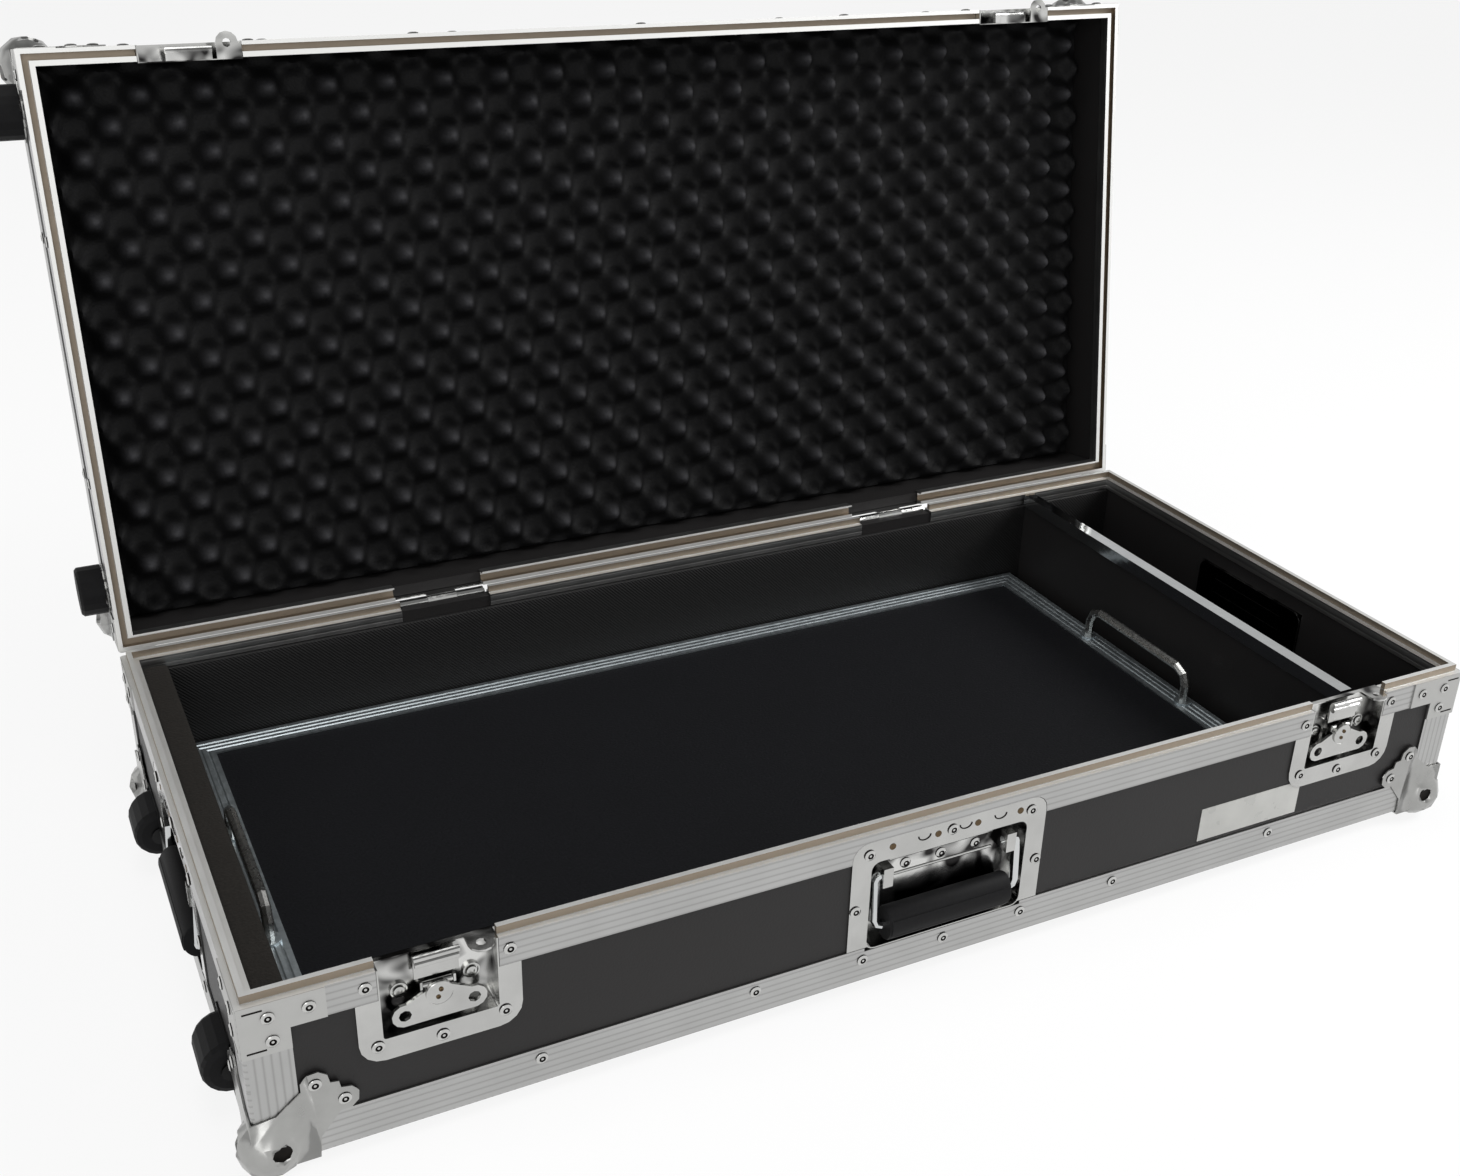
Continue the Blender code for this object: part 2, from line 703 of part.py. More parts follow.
def padlock_lug(frame, to_wall):
    """A flat lug with a padlock hole; the frame's Z points down from its top face."""
    front = -LUG_REACH
    outline = ([(to_wall + DISH_SHEET / 2, PAN - DISH_SHEET / 2), (-LUG_RADIUS, PAN - DISH_SHEET / 2)]
               + [(x, y) for x, y in arc((0, front + LUG_RADIUS), LUG_RADIUS, 180, 360, 6)]
               + [(LUG_RADIUS, DISH_FACE_INSET + DISH_SHEET), (to_wall + DISH_SHEET / 2, DISH_SHEET * 2)])
    hole = arc((0, front + LUG_RADIUS), LUG_HOLE, 0, 315, 7)
    flip = Matrix.Diagonal((1, -1, 1, 1))
    return extrude([outline, hole], 0, LUG_SHEET, frame @ flip)


def lid_latch_dish(centre):
    """The lid's half of a recessed latch, with its keeper bar and lug."""
    frame = wall("front") @ Matrix.Translation((centre, LID_RIM, 0))
    half_plate = LATCH_PLATE_WIDTH / 2
    half_pan = LATCH_RIM_GAP / 2 - GAP
    half = LATCH_OPENING / 2
    shoulder = RIM_LEG + GAP
    high = LID_DISH_HEIGHT + LID_DISH_MARGIN
    corner = (high - shoulder) / 2
    plate = extrude([rounded((-half_plate, shoulder), (half_plate, high), 0, corner)],
                    -DISH_FACE_INSET - DISH_SHEET, -DISH_FACE_INSET, frame)
    pan = extrude([rounded((-half_pan, 0), (half_pan, LID_DISH_HEIGHT + DISH_SHEET), 0,
                           DISH_SHEET * 3)], -PAN, -DISH_FACE_INSET, frame)
    hollow = extrude([rounded((-half, -OVERRUN), (half, LID_DISH_HEIGHT), 0, DISH_SHEET * 2)],
                     -DISH_DEPTH, OVERRUN, frame)
    cut(fuse(plate, pan), hollow)
    keeper = block((-KEEPER_WIDTH / 2, KEEPER_RISE - KEEPER_RADIUS, -PAN + DISH_SHEET / 2),
                   (KEEPER_WIDTH / 2, KEEPER_RISE + KEEPER_RADIUS, -KEEPER_INSET), frame)
    roll = frame @ Matrix.Translation((0, KEEPER_RISE, -KEEPER_INSET)) @ Matrix.Rotation(pi / 2, 4, "Y")
    bar = cylinder(KEEPER_RADIUS * 1.2, -KEEPER_WIDTH / 2 - GAP, KEEPER_WIDTH / 2 + GAP, roll, SMALL_SIDES)
    lug_flat = (frame @ Matrix.Translation((LUG_AT, LUG_SHEET, 0)) @ Matrix.Rotation(pi / 2, 4, "X"))
    return fuse(plate, keeper, bar, padlock_lug(lug_flat, half - LUG_AT))


def handle_dish(side):
    """A handle's pressed plate and pan, with the clamps that hold its bail."""
    frame = wall(side)
    half_plate = HANDLE_PLATE_WIDTH / 2
    low = ANGLE_LEG + GAP
    plate = extrude([rounded((-half_plate, low), (half_plate, HANDLE_PLATE_HIGH), 0,
                             HANDLE_PLATE_ROUND)], -DISH_FACE_INSET - DISH_SHEET,
                    -DISH_FACE_INSET, frame)
    half = HANDLE_OPENING / 2
    skin = DISH_SHEET
    pan = extrude([rounded((-half - skin, HANDLE_OPENING_LOW - skin),
                           (half + skin, HANDLE_OPENING_HIGH + skin),
                           HANDLE_OPENING_ROUND, HANDLE_OPENING_ROUND)],
                  -PAN, -DISH_FACE_INSET, frame)
    hollow = extrude([rounded((-half, HANDLE_OPENING_LOW), (half, HANDLE_OPENING_HIGH),
                              HANDLE_OPENING_ROUND - skin, HANDLE_OPENING_ROUND - skin)],
                     -DISH_DEPTH, OVERRUN, frame)
    cut(fuse(plate, pan), hollow)
    clamp_out = BAIL_LEG_AT - BAIL_RADIUS - GAP
    clamps = []
    for end in (-1, 1):
        near = end * (clamp_out - CLAMP_WIDTH)
        far = end * clamp_out
        clamp = block((min(near, far), PIVOT_HEIGHT - CLAMP_HEIGHT / 2, -DISH_DEPTH - DISH_SHEET / 2),
                      (max(near, far), PIVOT_HEIGHT + CLAMP_HEIGHT / 2, CLAMP_FRONT), frame)
        clamps.append(clamp)
    fuse(plate, *clamps)
    bore = frame @ Matrix.Translation((0, PIVOT_HEIGHT, -PIVOT_INSET)) @ Matrix.Rotation(pi / 2, 4, "Y")
    return cut(plate, cylinder(BAIL_RADIUS + GAP, -clamp_out - GAP, clamp_out + GAP, bore, SMALL_SIDES))


def bail(side):
    """A handle's wire: two pivots, two legs and the run through the grip."""
    inner = BAIL_LEG_AT - BAIL_RADIUS - GAP - CLAMP_WIDTH
    top = (PIVOT_HEIGHT, -PIVOT_INSET)
    bottom = (GRIP_HEIGHT, -GRIP_INSET)
    bend = BAIL_BEND
    lean = (top[1] - bottom[1]) / (top[0] - bottom[0])
    route = []
    for end in (-1, 1):
        leg = end * BAIL_LEG_AT
        turn = bend * (1 - cos(pi / 4))
        small = BAIL_RADIUS + GAP / 2
        small_turn = small * (1 - cos(pi / 4))
        stretch = [(end * inner, *top), (leg - end * small, *top),
                   (leg - end * small_turn, top[0] - small_turn, top[1]),
                   (leg, top[0] - small, top[1]),
                   (leg, bottom[0] + bend, bottom[1] + lean * bend),
                   (leg - end * turn, bottom[0] + turn, bottom[1] + lean * turn),
                   (leg - end * bend, *bottom)]
        route += stretch if end == -1 else list(reversed(stretch))
    return rod(route, BAIL_RADIUS, wall(side))


def grip(side):
    """A ribbed rubber grip, oval in section, bored for the wire."""
    pitch = GRIP_LENGTH / (2 * GRIP_RIBS)
    half = GRIP_LENGTH / 2
    profile = [(0, half), (GRIP_END_SHARE, half)]
    for step in range(1, 2 * GRIP_RIBS):
        share = 1 if step % 2 else GRIP_GROOVE_SHARE
        profile.append((share, half - step * pitch))
    profile += [(GRIP_END_SHARE, -half), (0, -half)]
    oval = Matrix.Diagonal((GRIP_HALF_DEPTH, GRIP_HALF_HEIGHT, 1, 1))
    frame = (wall(side) @ Matrix.Translation((0, GRIP_HEIGHT, -GRIP_INSET))
             @ Matrix.Rotation(pi / 2, 4, "Y"))
    body = turned(profile, frame @ oval, SMALL_SIDES)
    bore = cylinder(BAIL_RADIUS + GAP, -half - OVERRUN, half + OVERRUN, frame, SMALL_SIDES)
    return cut(body, bore)


# The latch mechanism

def butterfly(centre):
    """The latch's folding butterfly: two pierced wings on a disc, hung on a barrel."""
    frame = wall("front") @ Matrix.Translation((centre, 0, 0))
    wing_height = BUTTERFLY_CENTRE - WING_DROP
    right = arc((WING_SPAN, wing_height), WING_RADIUS, -80, 100, 6)
    cap = arc((0, BUTTERFLY_CENTRE), BUTTERFLY_DISC, 20, 160, 6)
    left = arc((-WING_SPAN, wing_height), WING_RADIUS, 80, 260, 6)
    belly = (0, wing_height - WING_RADIUS * NOTCH_SHARE)
    outline = right + cap + left + [belly]
    holes = [arc((side * WING_SPAN, wing_height), WING_HOLE, 0, 315, 7) for side in (-1, 1)]
    front = -BUTTERFLY_FRONT
    plate = extrude([outline] + holes, front - BUTTERFLY_SHEET, front, frame)
    hub = cylinder(HUB_RADIUS, front - BUTTERFLY_SHEET / 2, front + HUB_RISE,
                   frame @ Matrix.Translation((0, BUTTERFLY_CENTRE, 0)), SMALL_SIDES,
                   HUB_RADIUS * HUB_TOP_SHARE)
    axis = frame @ Matrix.Translation((0, FLIP_HEIGHT, -FLIP_INSET)) @ Matrix.Rotation(pi / 2, 4, "Y")
    reach = CHEEK_AT - GAP
    barrel = cylinder(FLIP_BARREL_RADIUS, -reach, reach, axis, SMALL_SIDES)
    return fuse(plate, hub, barrel)


def claw(centre):
    """The claw: a rolled double bar on a plate, with two legs behind the butterfly."""
    frame = wall("front") @ Matrix.Translation((centre, 0, 0))
    half = CLAW_WIDTH / 2
    front = -CLAW_INSET
    back = SHEET + GAP - DISH_DEPTH
    plate = block((-half, CLAW_LOW, front - CLAW_SHEET), (half, CLAW_HIGH - CLAW_PLATE_DROP, front), frame)
    step_half = CLAW_LEG_AT + CLAW_LEG_WIDTH / 2 + GAP
    step = block((-step_half, CLAW_LOW + GAP, back + GAP / 2),
                 (step_half, CLAW_LOW + CLAW_STEP, front - CLAW_SHEET / 2), frame)
    extras = [step]
    for end in (-1, 1):
        extras.append(block((end * CLAW_LEG_AT - CLAW_LEG_WIDTH / 2, CLAW_LEG_LOW, back),
                            (end * CLAW_LEG_AT + CLAW_LEG_WIDTH / 2, CLAW_LOW + CLAW_STEP / 2,
                             back + CLAW_SHEET), frame))
    for drop in (0, CLAW_BAR_PITCH):
        axis = (frame @ Matrix.Translation((0, CLAW_HIGH - drop, -CLAW_BAR_INSET))
                @ Matrix.Rotation(pi / 2, 4, "Y"))
        reach = half - GAP if drop else half + GAP
        extras.append(cylinder(CLAW_BAR_RADIUS, -reach, reach, axis, SMALL_SIDES))
    return fuse(plate, *extras)


# Rollers

def wheel_frame(end):
    """A roller's frame: Z along its axle."""
    return (wall("left") @ Matrix.Translation((end * WHEEL_AT, WHEEL_HEIGHT, -WHEEL_INSET))
            @ Matrix.Rotation(pi / 2, 4, "Y"))


def wheel(end):
    """A rubber roller with rounded edges and a bore."""
    half = WHEEL_WIDTH / 2
    bore = AXLE_RADIUS + GAP
    soft = WHEEL_EDGE * (1 - cos(pi / 4))
    radius = WHEEL_RADIUS
    profile = [(bore, half), (radius - WHEEL_EDGE, half), (radius - soft, half - soft),
               (radius, half - WHEEL_EDGE), (radius, WHEEL_EDGE - half),
               (radius - soft, soft - half), (radius - WHEEL_EDGE, -half), (bore, -half), (bore, half)]
    return turned(profile, wheel_frame(end), ROUND_SIDES)


def wheel_pan_size():
    """Half width, height and depth of the space a roller turns in."""
    half = WHEEL_WIDTH / 2 + WHEEL_PLAY
    reach = WHEEL_RADIUS + WHEEL_CLEARANCE
    return half, reach


def wheel_housing(end):
    """A roller's open box with two ears and the axle riveted in them."""
    half, reach = wheel_pan_size()
    outer = half + WHEEL_SHEET
    frame = wall("left") @ Matrix.Translation((end * WHEEL_AT, WHEEL_HEIGHT, 0))
    skin = WHEEL_SHEET
    box = block((-outer, -reach - skin, -WHEEL_INSET - reach - skin),
                (outer, reach + skin, -DISH_FACE_INSET), frame)
    axis = wheel_frame(end)
    ears = cylinder(WHEEL_EAR, -outer, outer, axis, SMALL_SIDES)
    hollow = block((-half, -reach, -WHEEL_INSET - reach), (half, reach, OVERRUN), frame)
    cut(fuse(box, ears), hollow)
    return fuse(box, cylinder(AXLE_RADIUS, -outer, outer, axis, SMALL_SIDES))


def wheel_clearance(end, low):
    """The space that a roller's housing takes in the pieces round it."""
    half, reach = wheel_pan_size()
    outer = half + WHEEL_SHEET + GAP
    grow = reach + WHEEL_SHEET + GAP
    frame = wall("left") @ Matrix.Translation((end * WHEEL_AT, WHEEL_HEIGHT, 0))
    return block((-outer, low - WHEEL_HEIGHT, -WHEEL_INSET - grow), (outer, grow, OVERRUN), frame)


# Hinges

def hinge_leaf(centre, lid):
    """A hinge leaf flush in the rear wall with its knuckles. The base's holds the pin."""
    frame = wall("rear") @ Matrix.Translation((centre, PIN_HEIGHT, 0))
    half = HINGE_GAP / 2 - GAP
    clear = KNUCKLE_RADIUS + GAP
    back = -DISH_FACE_INSET - DISH_SHEET
    front = -DISH_FACE_INSET
    if lid:
        leaf = block((-half, clear, back), (half, clear + LEAF_HEIGHT, front), frame)
        spans = [(-KNUCKLE_INNER + GAP, KNUCKLE_INNER - GAP)]
    else:
        leaf = block((-half, -clear - LEAF_HEIGHT, back), (half, -clear, front), frame)
        spans = [(-KNUCKLE_OUTER, -KNUCKLE_INNER), (KNUCKLE_INNER, KNUCKLE_OUTER)]
    axis = frame @ Matrix.Translation((0, 0, PIN_BEHIND)) @ Matrix.Rotation(pi / 2, 4, "Y")
    extras = []
    for low, high in spans:
        reach = clear + DISH_SHEET
        neck = block((low, 0 if lid else -reach, back), (high, reach if lid else 0, front), frame)
        extras.append(neck)
        extras.append(cylinder(KNUCKLE_RADIUS, low, high, axis, SMALL_SIDES))
    fuse(leaf, *extras)
    if lid:
        return cut(leaf, cylinder(PIN_RADIUS + PIN_PLAY, -HINGE_GAP, HINGE_GAP, axis, SMALL_SIDES))
    reach = KNUCKLE_OUTER + SHEET
    return fuse(leaf, cylinder(PIN_RADIUS, -reach, reach, axis, SMALL_SIDES))


# Soft and inner pieces

def egg_crate():
    """The lid's convoluted foam: rows of staggered peaks that point down when closed."""
    half_x = LENGTH / 2 - INNER - GAP
    half_y = DEPTH / 2 - INNER - GAP
    columns = 2 * round(half_x / (FOAM_PITCH / 2))
    rows = round(2 * half_y / FOAM_ROW)
    back = LID_TOP - PLY_IN - GAP
    form = bmesh.new()
    bmesh.ops.create_grid(form, x_segments=columns, y_segments=rows, size=1)
    bmesh.ops.transform(form, matrix=Matrix.Diagonal((half_x, half_y, 1, 1)), verts=form.verts)
    for vertex in form.verts:
        column = round((vertex.co.x + half_x) * columns / (2 * half_x))
        row = round((vertex.co.y + half_y) * rows / (2 * half_y))
        edge = column in (0, columns) or row in (0, rows)
        peak = (column + row) % 2 == 0 and not edge
        vertex.co.z = back - FOAM_BASE - (FOAM_PEAK if peak else 0)
    skirt = bmesh.ops.extrude_edge_only(form, edges=[edge for edge in form.edges if edge.is_boundary])
    rim = [item for item in skirt["geom"] if isinstance(item, bmesh.types.BMVert)]
    for vertex in rim:
        vertex.co.z = back
    bmesh.ops.holes_fill(form, edges=[edge for edge in form.edges if edge.is_boundary])
    bmesh.ops.transform(form, matrix=CASE, verts=form.verts)
    bmesh.ops.recalc_face_normals(form, faces=form.faces)
    return finished_mesh("foam", form)


def inside_block(left, right, front, rear, low, high):
    """A box by its distances from the case's front-left corner."""
    return block((left - LENGTH / 2, front - DEPTH / 2, low), (right - LENGTH / 2, rear - DEPTH / 2, high))


def pan_pocket(side, centre, half, low, high):
    """A pocket in a lining for the back of a dish."""
    return block((centre - half - GAP, low - GAP, -PAN - GAP),
                 (centre + half + GAP, high + GAP, OVERRUN / 4), wall(side))


def board_trim():
    """The board's mitred edging, a ridged top leg and a plain side leg, with its two loops."""
    outline = [(0, -BOARD_DECK), (0, 0)]
    pitch = TRIM_WIDTH / (TRIM_RIDGES + 1)
    for ridge in range(TRIM_RIDGES):
        at = pitch * (ridge + 1)
        outline += [(at - TRIM_RIDGE, 0), (at, -TRIM_RIDGE / 2), (at + TRIM_RIDGE, 0)]
    outline += [(TRIM_WIDTH, 0), (TRIM_WIDTH, -TRIM_SHEET), (TRIM_SHEET, -TRIM_SHEET),
                (TRIM_SHEET, -BOARD_DECK)]
    middle = Matrix.Translation(((BOARD_RIGHT + BOARD_LEFT - LENGTH) / 2,
                                 (BOARD_REAR + BOARD_FRONT - DEPTH) / 2, BOARD_TOP))
    trim = framed(outline, (BOARD_RIGHT - BOARD_LEFT) / 2, (BOARD_REAR - BOARD_FRONT) / 2, CASE @ middle)
    left = BOARD_LEFT + LOOP_AT - LENGTH / 2
    right = BOARD_RIGHT - LOOP_AT - LENGTH / 2
    return fuse(trim, board_loop(left), board_loop(right))


def board_loop(x):
    """A D-shaped lifting handle with round feet, standing on the board's trim."""
    foot = BOARD_TOP - TRIM_SHEET * 2 / 3
    top = BOARD_TOP + LOOP_HEIGHT - LOOP_RADIUS
    middle = (BOARD_REAR + BOARD_FRONT - DEPTH) / 2
    turn = LOOP_BEND * (1 - cos(pi / 4))
    route = []
    feet = []
    for end in (-1, 1):
        y = middle + end * LOOP_SPAN / 2
        stretch = [(x, y, foot), (x, y, top - LOOP_BEND), (x, y - end * turn, top - turn),
                   (x, y - end * LOOP_BEND, top)]
        route += stretch if end == -1 else list(reversed(stretch))
        feet.append(cylinder(LOOP_FOOT, foot, BOARD_TOP + LOOP_FOOT_HEIGHT,
                             CASE @ Matrix.Translation((x, y, 0)) @ Matrix.Rotation(LOOP_TWIST, 4, "Z"),
                             SMALL_SIDES))
    return fuse(rod(route, LOOP_RADIUS), *feet)


def rubber_foot(end):
    """A stand-up foot on the left end of the lid."""
    frame = (wall("left") @ Matrix.Translation((end * (DEPTH / 2 - FOOT_FROM_EDGE),
                                               LID_RIM + FOOT_FROM_RIM, SHEET + 2 * GAP)))
    top = FOOT_HEIGHT
    profile = [(0, top), (FOOT_RADIUS - FOOT_ROUND, top), (FOOT_RADIUS, top - FOOT_ROUND),
               (FOOT_RADIUS, 0), (0, 0)]
    return turned(profile, frame, ROUND_SIDES)


# The base

def build_base():
    panels = walls(PLY_OUT, WALL_TOP)
    half_x = LENGTH / 2 - PLY_IN - GAP
    half_y = DEPTH / 2 - PLY_IN - GAP
    floor = block((-half_x, -half_y, PLY_OUT + GAP), (half_x, half_y, PLY_IN))
    field_x = LENGTH / 2 - BALL_REACH - BALL_LOBE - SHEET
    field_y = DEPTH / 2 - ANGLE_LEG - GAP
    fuse(floor, block((-field_x, -field_y, PLY_OUT), (field_x, field_y, PLY_IN - SHEET)))
    pan_half = LATCH_RIM_GAP / 2
    handle_half = HANDLE_OPENING / 2 + DISH_SHEET + GAP
    handle_low = HANDLE_OPENING_LOW - DISH_SHEET - GAP
    handle_high = HANDLE_OPENING_HIGH + DISH_SHEET + GAP
    latch_low = LATCH_OPENING_LOW - DISH_SHEET - GAP
    for centre in (-LATCH_AT, LATCH_AT):
        cut(panels["front"], slot("front", centre, pan_half, latch_low, BASE_HEIGHT))
    for side in ("front", "left", "right"):
        cut(panels[side], slot(side, 0, handle_half, handle_low, handle_high))
    cut(panels["left"], wheel_clearance(-1, -GAP), wheel_clearance(1, -GAP))
    cut(floor, wheel_clearance(-1, -GAP), wheel_clearance(1, -GAP))
    for side, panel in panels.items():
        node("base_panel_" + side, panel, "panel")
    node("base_floor", floor, "panel")

    frame = case_frame(angle_outline(), 0)
    rim_top = BASE_HEIGHT + TONGUE_HEIGHT + OVERRUN
    posts = [corner_angle(SHEET / 2, BASE_HEIGHT - SHEET / 2, place)
             for place in corner_frames(0, 1).values()]
    braces = [moved(corner_brace(BRACE_ARM), place) for place in corner_frames(BASE_HEIGHT, -1).values()]
    fuse(frame, case_frame(base_rim_outline(), BASE_HEIGHT), *posts, *braces)
    cut(frame, slot("front", 0, LATCH_AT + pan_half, ANGLE_LEG + GAP, rim_top),
        slot("rear", 0, HINGE_AT + HINGE_GAP / 2, ANGLE_LEG + GAP, rim_top))
    for side in ("front", "left", "right"):
        cut(frame, slot(side, 0, handle_half, handle_low, ANGLE_LEG + GAP), handle_notch(side))
    cut(frame, wheel_clearance(-1, SHEET + GAP / 2), wheel_clearance(1, SHEET + GAP / 2))
    node("base_frame", frame, "aluminium")
    rim_front = rim_length(base_rim_outline(), "front", BASE_HEIGHT, LATCH_AT - pan_half)
    node("base_rim_front", cut(rim_front, handle_notch("front")), "aluminium")
    node("base_rim_rear", rim_length(base_rim_outline(), "rear", BASE_HEIGHT, HINGE_AT - HINGE_GAP / 2),
         "aluminium")
    for name, place in corner_frames(0, 1).items():
        node("base_ball_" + name, ball_corner(place), "corner_steel")


def build_latches():
    for name, centre in (("left", -LATCH_AT), ("right", LATCH_AT)):
        node("latch_dish_" + name, base_latch_dish(centre), "plated_steel")
        flip = pivot("latch_flip_" + name, (centre, FLIP_INSET - DEPTH / 2, FLIP_HEIGHT - PLY_OUT))
        carry(flip, [node("latch_butterfly_" + name, butterfly(centre), "plated_steel")])
        lift = pivot("latch_claw_lift_" + name, (centre, CLAW_INSET - DEPTH / 2, CLAW_LOW - PLY_OUT))
        carry(lift, [node("latch_claw_" + name, claw(centre), "plated_steel")])


def build_handles():
    for side in ("front", "left", "right"):
        node("handle_dish_" + side, handle_dish(side), "plated_steel")
        swing = pivot("handle_swing_" + side, wall(side) @ Vector((0, PIVOT_HEIGHT, -PIVOT_INSET)))
        carry(swing, [node("handle_wire_" + side, bail(side), "chrome"),
                      node("handle_grip_" + side, grip(side), "rubber")])


def build_rollers():
    for name, end in (("front", 1), ("rear", -1)):
        node("wheel_housing_" + name, wheel_housing(end), "dark_steel")
        turn = pivot("wheel_turn_" + name, wheel_frame(end).translation)
        carry(turn, [node("wheel_" + name, wheel(end), "rubber")])


def build_inside():
    low = PLY_IN + GAP
    inner = PLY_IN + GAP
    far = inner + LINING + GAP
    left_pad = inside_block(inner, inner + LEFT_PAD, far, DEPTH - far, low, LEFT_PAD_TOP)
    tuck = inside_block(0, INNER + GAP, 0, DEPTH, BASE_HEIGHT - RIM_INNER_LEG - GAP, BASE_HEIGHT)
    handle_half = HANDLE_OPENING / 2 + DISH_SHEET
    handle_low = HANDLE_OPENING_LOW - DISH_SHEET
    handle_high = HANDLE_OPENING_HIGH + DISH_SHEET
    cut(left_pad, tuck, pan_pocket("left", 0, handle_half, handle_low, handle_high),
        wheel_clearance(-1, -GAP), wheel_clearance(1, -GAP))
    node("left_pad", left_pad, "foam")

    front = inside_block(inner, LENGTH - inner, inner, inner + LINING, low, LINING_TOP)
    rear = inside_block(inner, LENGTH - inner, DEPTH - inner - LINING, DEPTH - inner, low, LINING_TOP)
    cut(front, pan_pocket("front", 0, handle_half, handle_low, handle_high),
        *[pan_pocket("front", centre, LATCH_RIM_GAP / 2 - GAP, LATCH_OPENING_LOW - DISH_SHEET, BASE_HEIGHT)
          for centre in (-LATCH_AT, LATCH_AT)])
    node("lining_front", front, "foam")
    node("lining_rear", rear, "foam")

    divider_left = DIVIDER_AT - DIVIDER_THICK / 2
    divider_right = DIVIDER_AT + DIVIDER_THICK / 2
    floor_pad = inside_block(inner + LEFT_PAD + GAP, divider_left - GAP, far, DEPTH - far, low,
                             FLOOR_PAD_TOP)
    node("floor_pad", floor_pad, "foam")
    node("divider", inside_block(divider_left, divider_right, far, DEPTH - far, low,
                                 DIVIDER_TOP - CAP_SHEET - GAP), "panel")
    half = DIVIDER_THICK / 2 + GAP
    outer = half + CAP_SHEET
    roof = DIVIDER_TOP - CAP_SHEET
    cap_low = DIVIDER_TOP - CAP_LEG
    outline = [(-outer, cap_low), (-half, cap_low), (-half, roof), (half, roof),
               (half, cap_low), (outer, cap_low), (outer, DIVIDER_TOP), (-outer, DIVIDER_TOP)]
    reach = DEPTH / 2 - far
    place = CASE @ axes(Vector((1, 0, 0)), UP, Vector((0, -1, 0)), Vector((DIVIDER_AT - LENGTH / 2, 0, 0)))
    node("divider_cap", extrude([outline], -reach, reach, place), "aluminium")


def build_board():
    seat = TRIM_SHEET + GAP
    deck = inside_block(BOARD_LEFT + seat, BOARD_RIGHT - seat, BOARD_FRONT + seat, BOARD_REAR - seat,
                        BOARD_TOP - BOARD_DECK, BOARD_TOP - seat)
    centre = ((BOARD_LEFT + BOARD_RIGHT - LENGTH) / 2, 0, BOARD_TOP - PLY_OUT)
    lift = pivot("board_lift", centre)
    carry(lift, [node("pedal_board", deck, "carpet"), node("board_trim", board_trim(), "aluminium")])


# The lid

def build_lid():
    pieces = []
    panels = walls(LID_WALL_LOW, LID_TOP - PLY_OUT)
    pan_half = LATCH_RIM_GAP / 2
    dish_high = LID_RIM + LID_DISH_HEIGHT + DISH_SHEET + GAP
    for centre in (-LATCH_AT, LATCH_AT):
        cut(panels["front"], slot("front", centre, pan_half, LID_RIM - OVERRUN, dish_high))
    half_x = LENGTH / 2 - PLY_IN - GAP
    half_y = DEPTH / 2 - PLY_IN - GAP
    top = block((-half_x, -half_y, LID_TOP - PLY_IN), (half_x, half_y, LID_TOP - PLY_OUT))
    pieces.append(node("lid_panel_top", top, "panel"))
    for side, panel in panels.items():
        pieces.append(node("lid_panel_" + side, panel, "panel"))

    top_angle = [(inset, -height) for inset, height in angle_outline()]
    frame = case_frame(top_angle, LID_TOP)
    posts = [corner_angle(SHEET / 2, LID_HEIGHT - SHEET / 2, place)
             for place in corner_frames(LID_TOP, -1).values()]
    braces = [moved(lid_brace(), place) for place in corner_frames(LID_RIM, 1).values()]
    fuse(frame, case_frame(lid_rim_outline(GROOVE_IN), LID_RIM), *posts, *braces)
    low = LID_RIM - OVERRUN
    high = LID_TOP - ANGLE_LEG - GAP
    groove_half = LENGTH / 2 - GROOVE_OUT
    rear_groove = block((-groove_half, low, -REAR_GROOVE_IN),
                        (groove_half, LID_RIM + GROOVE_DEPTH, -GROOVE_OUT), wall("rear"))
    cut(frame, slot("front", 0, LATCH_AT + pan_half, low, high),
        slot("rear", 0, HINGE_AT + HINGE_GAP / 2, low, high), rear_groove)
    pieces.append(node("lid_frame", frame, "aluminium"))
    pieces.append(node("lid_rim_front", rim_length(lid_rim_outline(GROOVE_IN), "front", LID_RIM,
                                                   LATCH_AT - pan_half), "aluminium"))
    pieces.append(node("lid_rim_rear", rim_length(lid_rim_outline(REAR_GROOVE_IN), "rear", LID_RIM,
                                                  HINGE_AT - HINGE_GAP / 2), "aluminium"))
    for name, place in corner_frames(LID_TOP, -1).items():
        pieces.append(node("lid_ball_" + name, ball_corner(place), "corner_steel"))
    for name, centre in (("left", -LATCH_AT), ("right", LATCH_AT)):
        pieces.append(node("lid_latch_dish_" + name, lid_latch_dish(centre), "plated_steel"))
    for name, centre in (("left", -HINGE_AT), ("right", HINGE_AT)):
        side = -1 if name == "left" else 1
        pieces.append(node("hinge_lid_leaf_" + name, hinge_leaf(-side * HINGE_AT, True), "plated_steel"))
    pieces.append(node("lid_foam", egg_crate(), "foam"))
    for name, end in (("front", 1), ("rear", -1)):
        pieces.append(node("rubber_foot_" + name, rubber_foot(end), "rubber"))
    hinge = pivot("lid_swing", (0, DEPTH / 2 + PIN_BEHIND, PIN_HEIGHT - PLY_OUT))
    carry(hinge, pieces)
    hinge.rotation_euler = (-LID_OPEN, 0, 0)


def lid_brace():
    """A lid rim's corner brace: its arms alone, since the lid is shallow."""
    brace = corner_brace(LID_BRACE_ARM)
    trim = block((-OVERRUN, -OVERRUN, BRACE_ARM_HEIGHT),
                 (BRACE_ARM + OVERRUN, BRACE_ARM + OVERRUN, BRACE_HEIGHT + OVERRUN), Matrix.Identity(4))
    return cut(brace, trim)


def build_hinges():
    for name, side in (("left", -1), ("right", 1)):
        node("hinge_base_leaf_" + name, hinge_leaf(-side * HINGE_AT, False), "plated_steel")


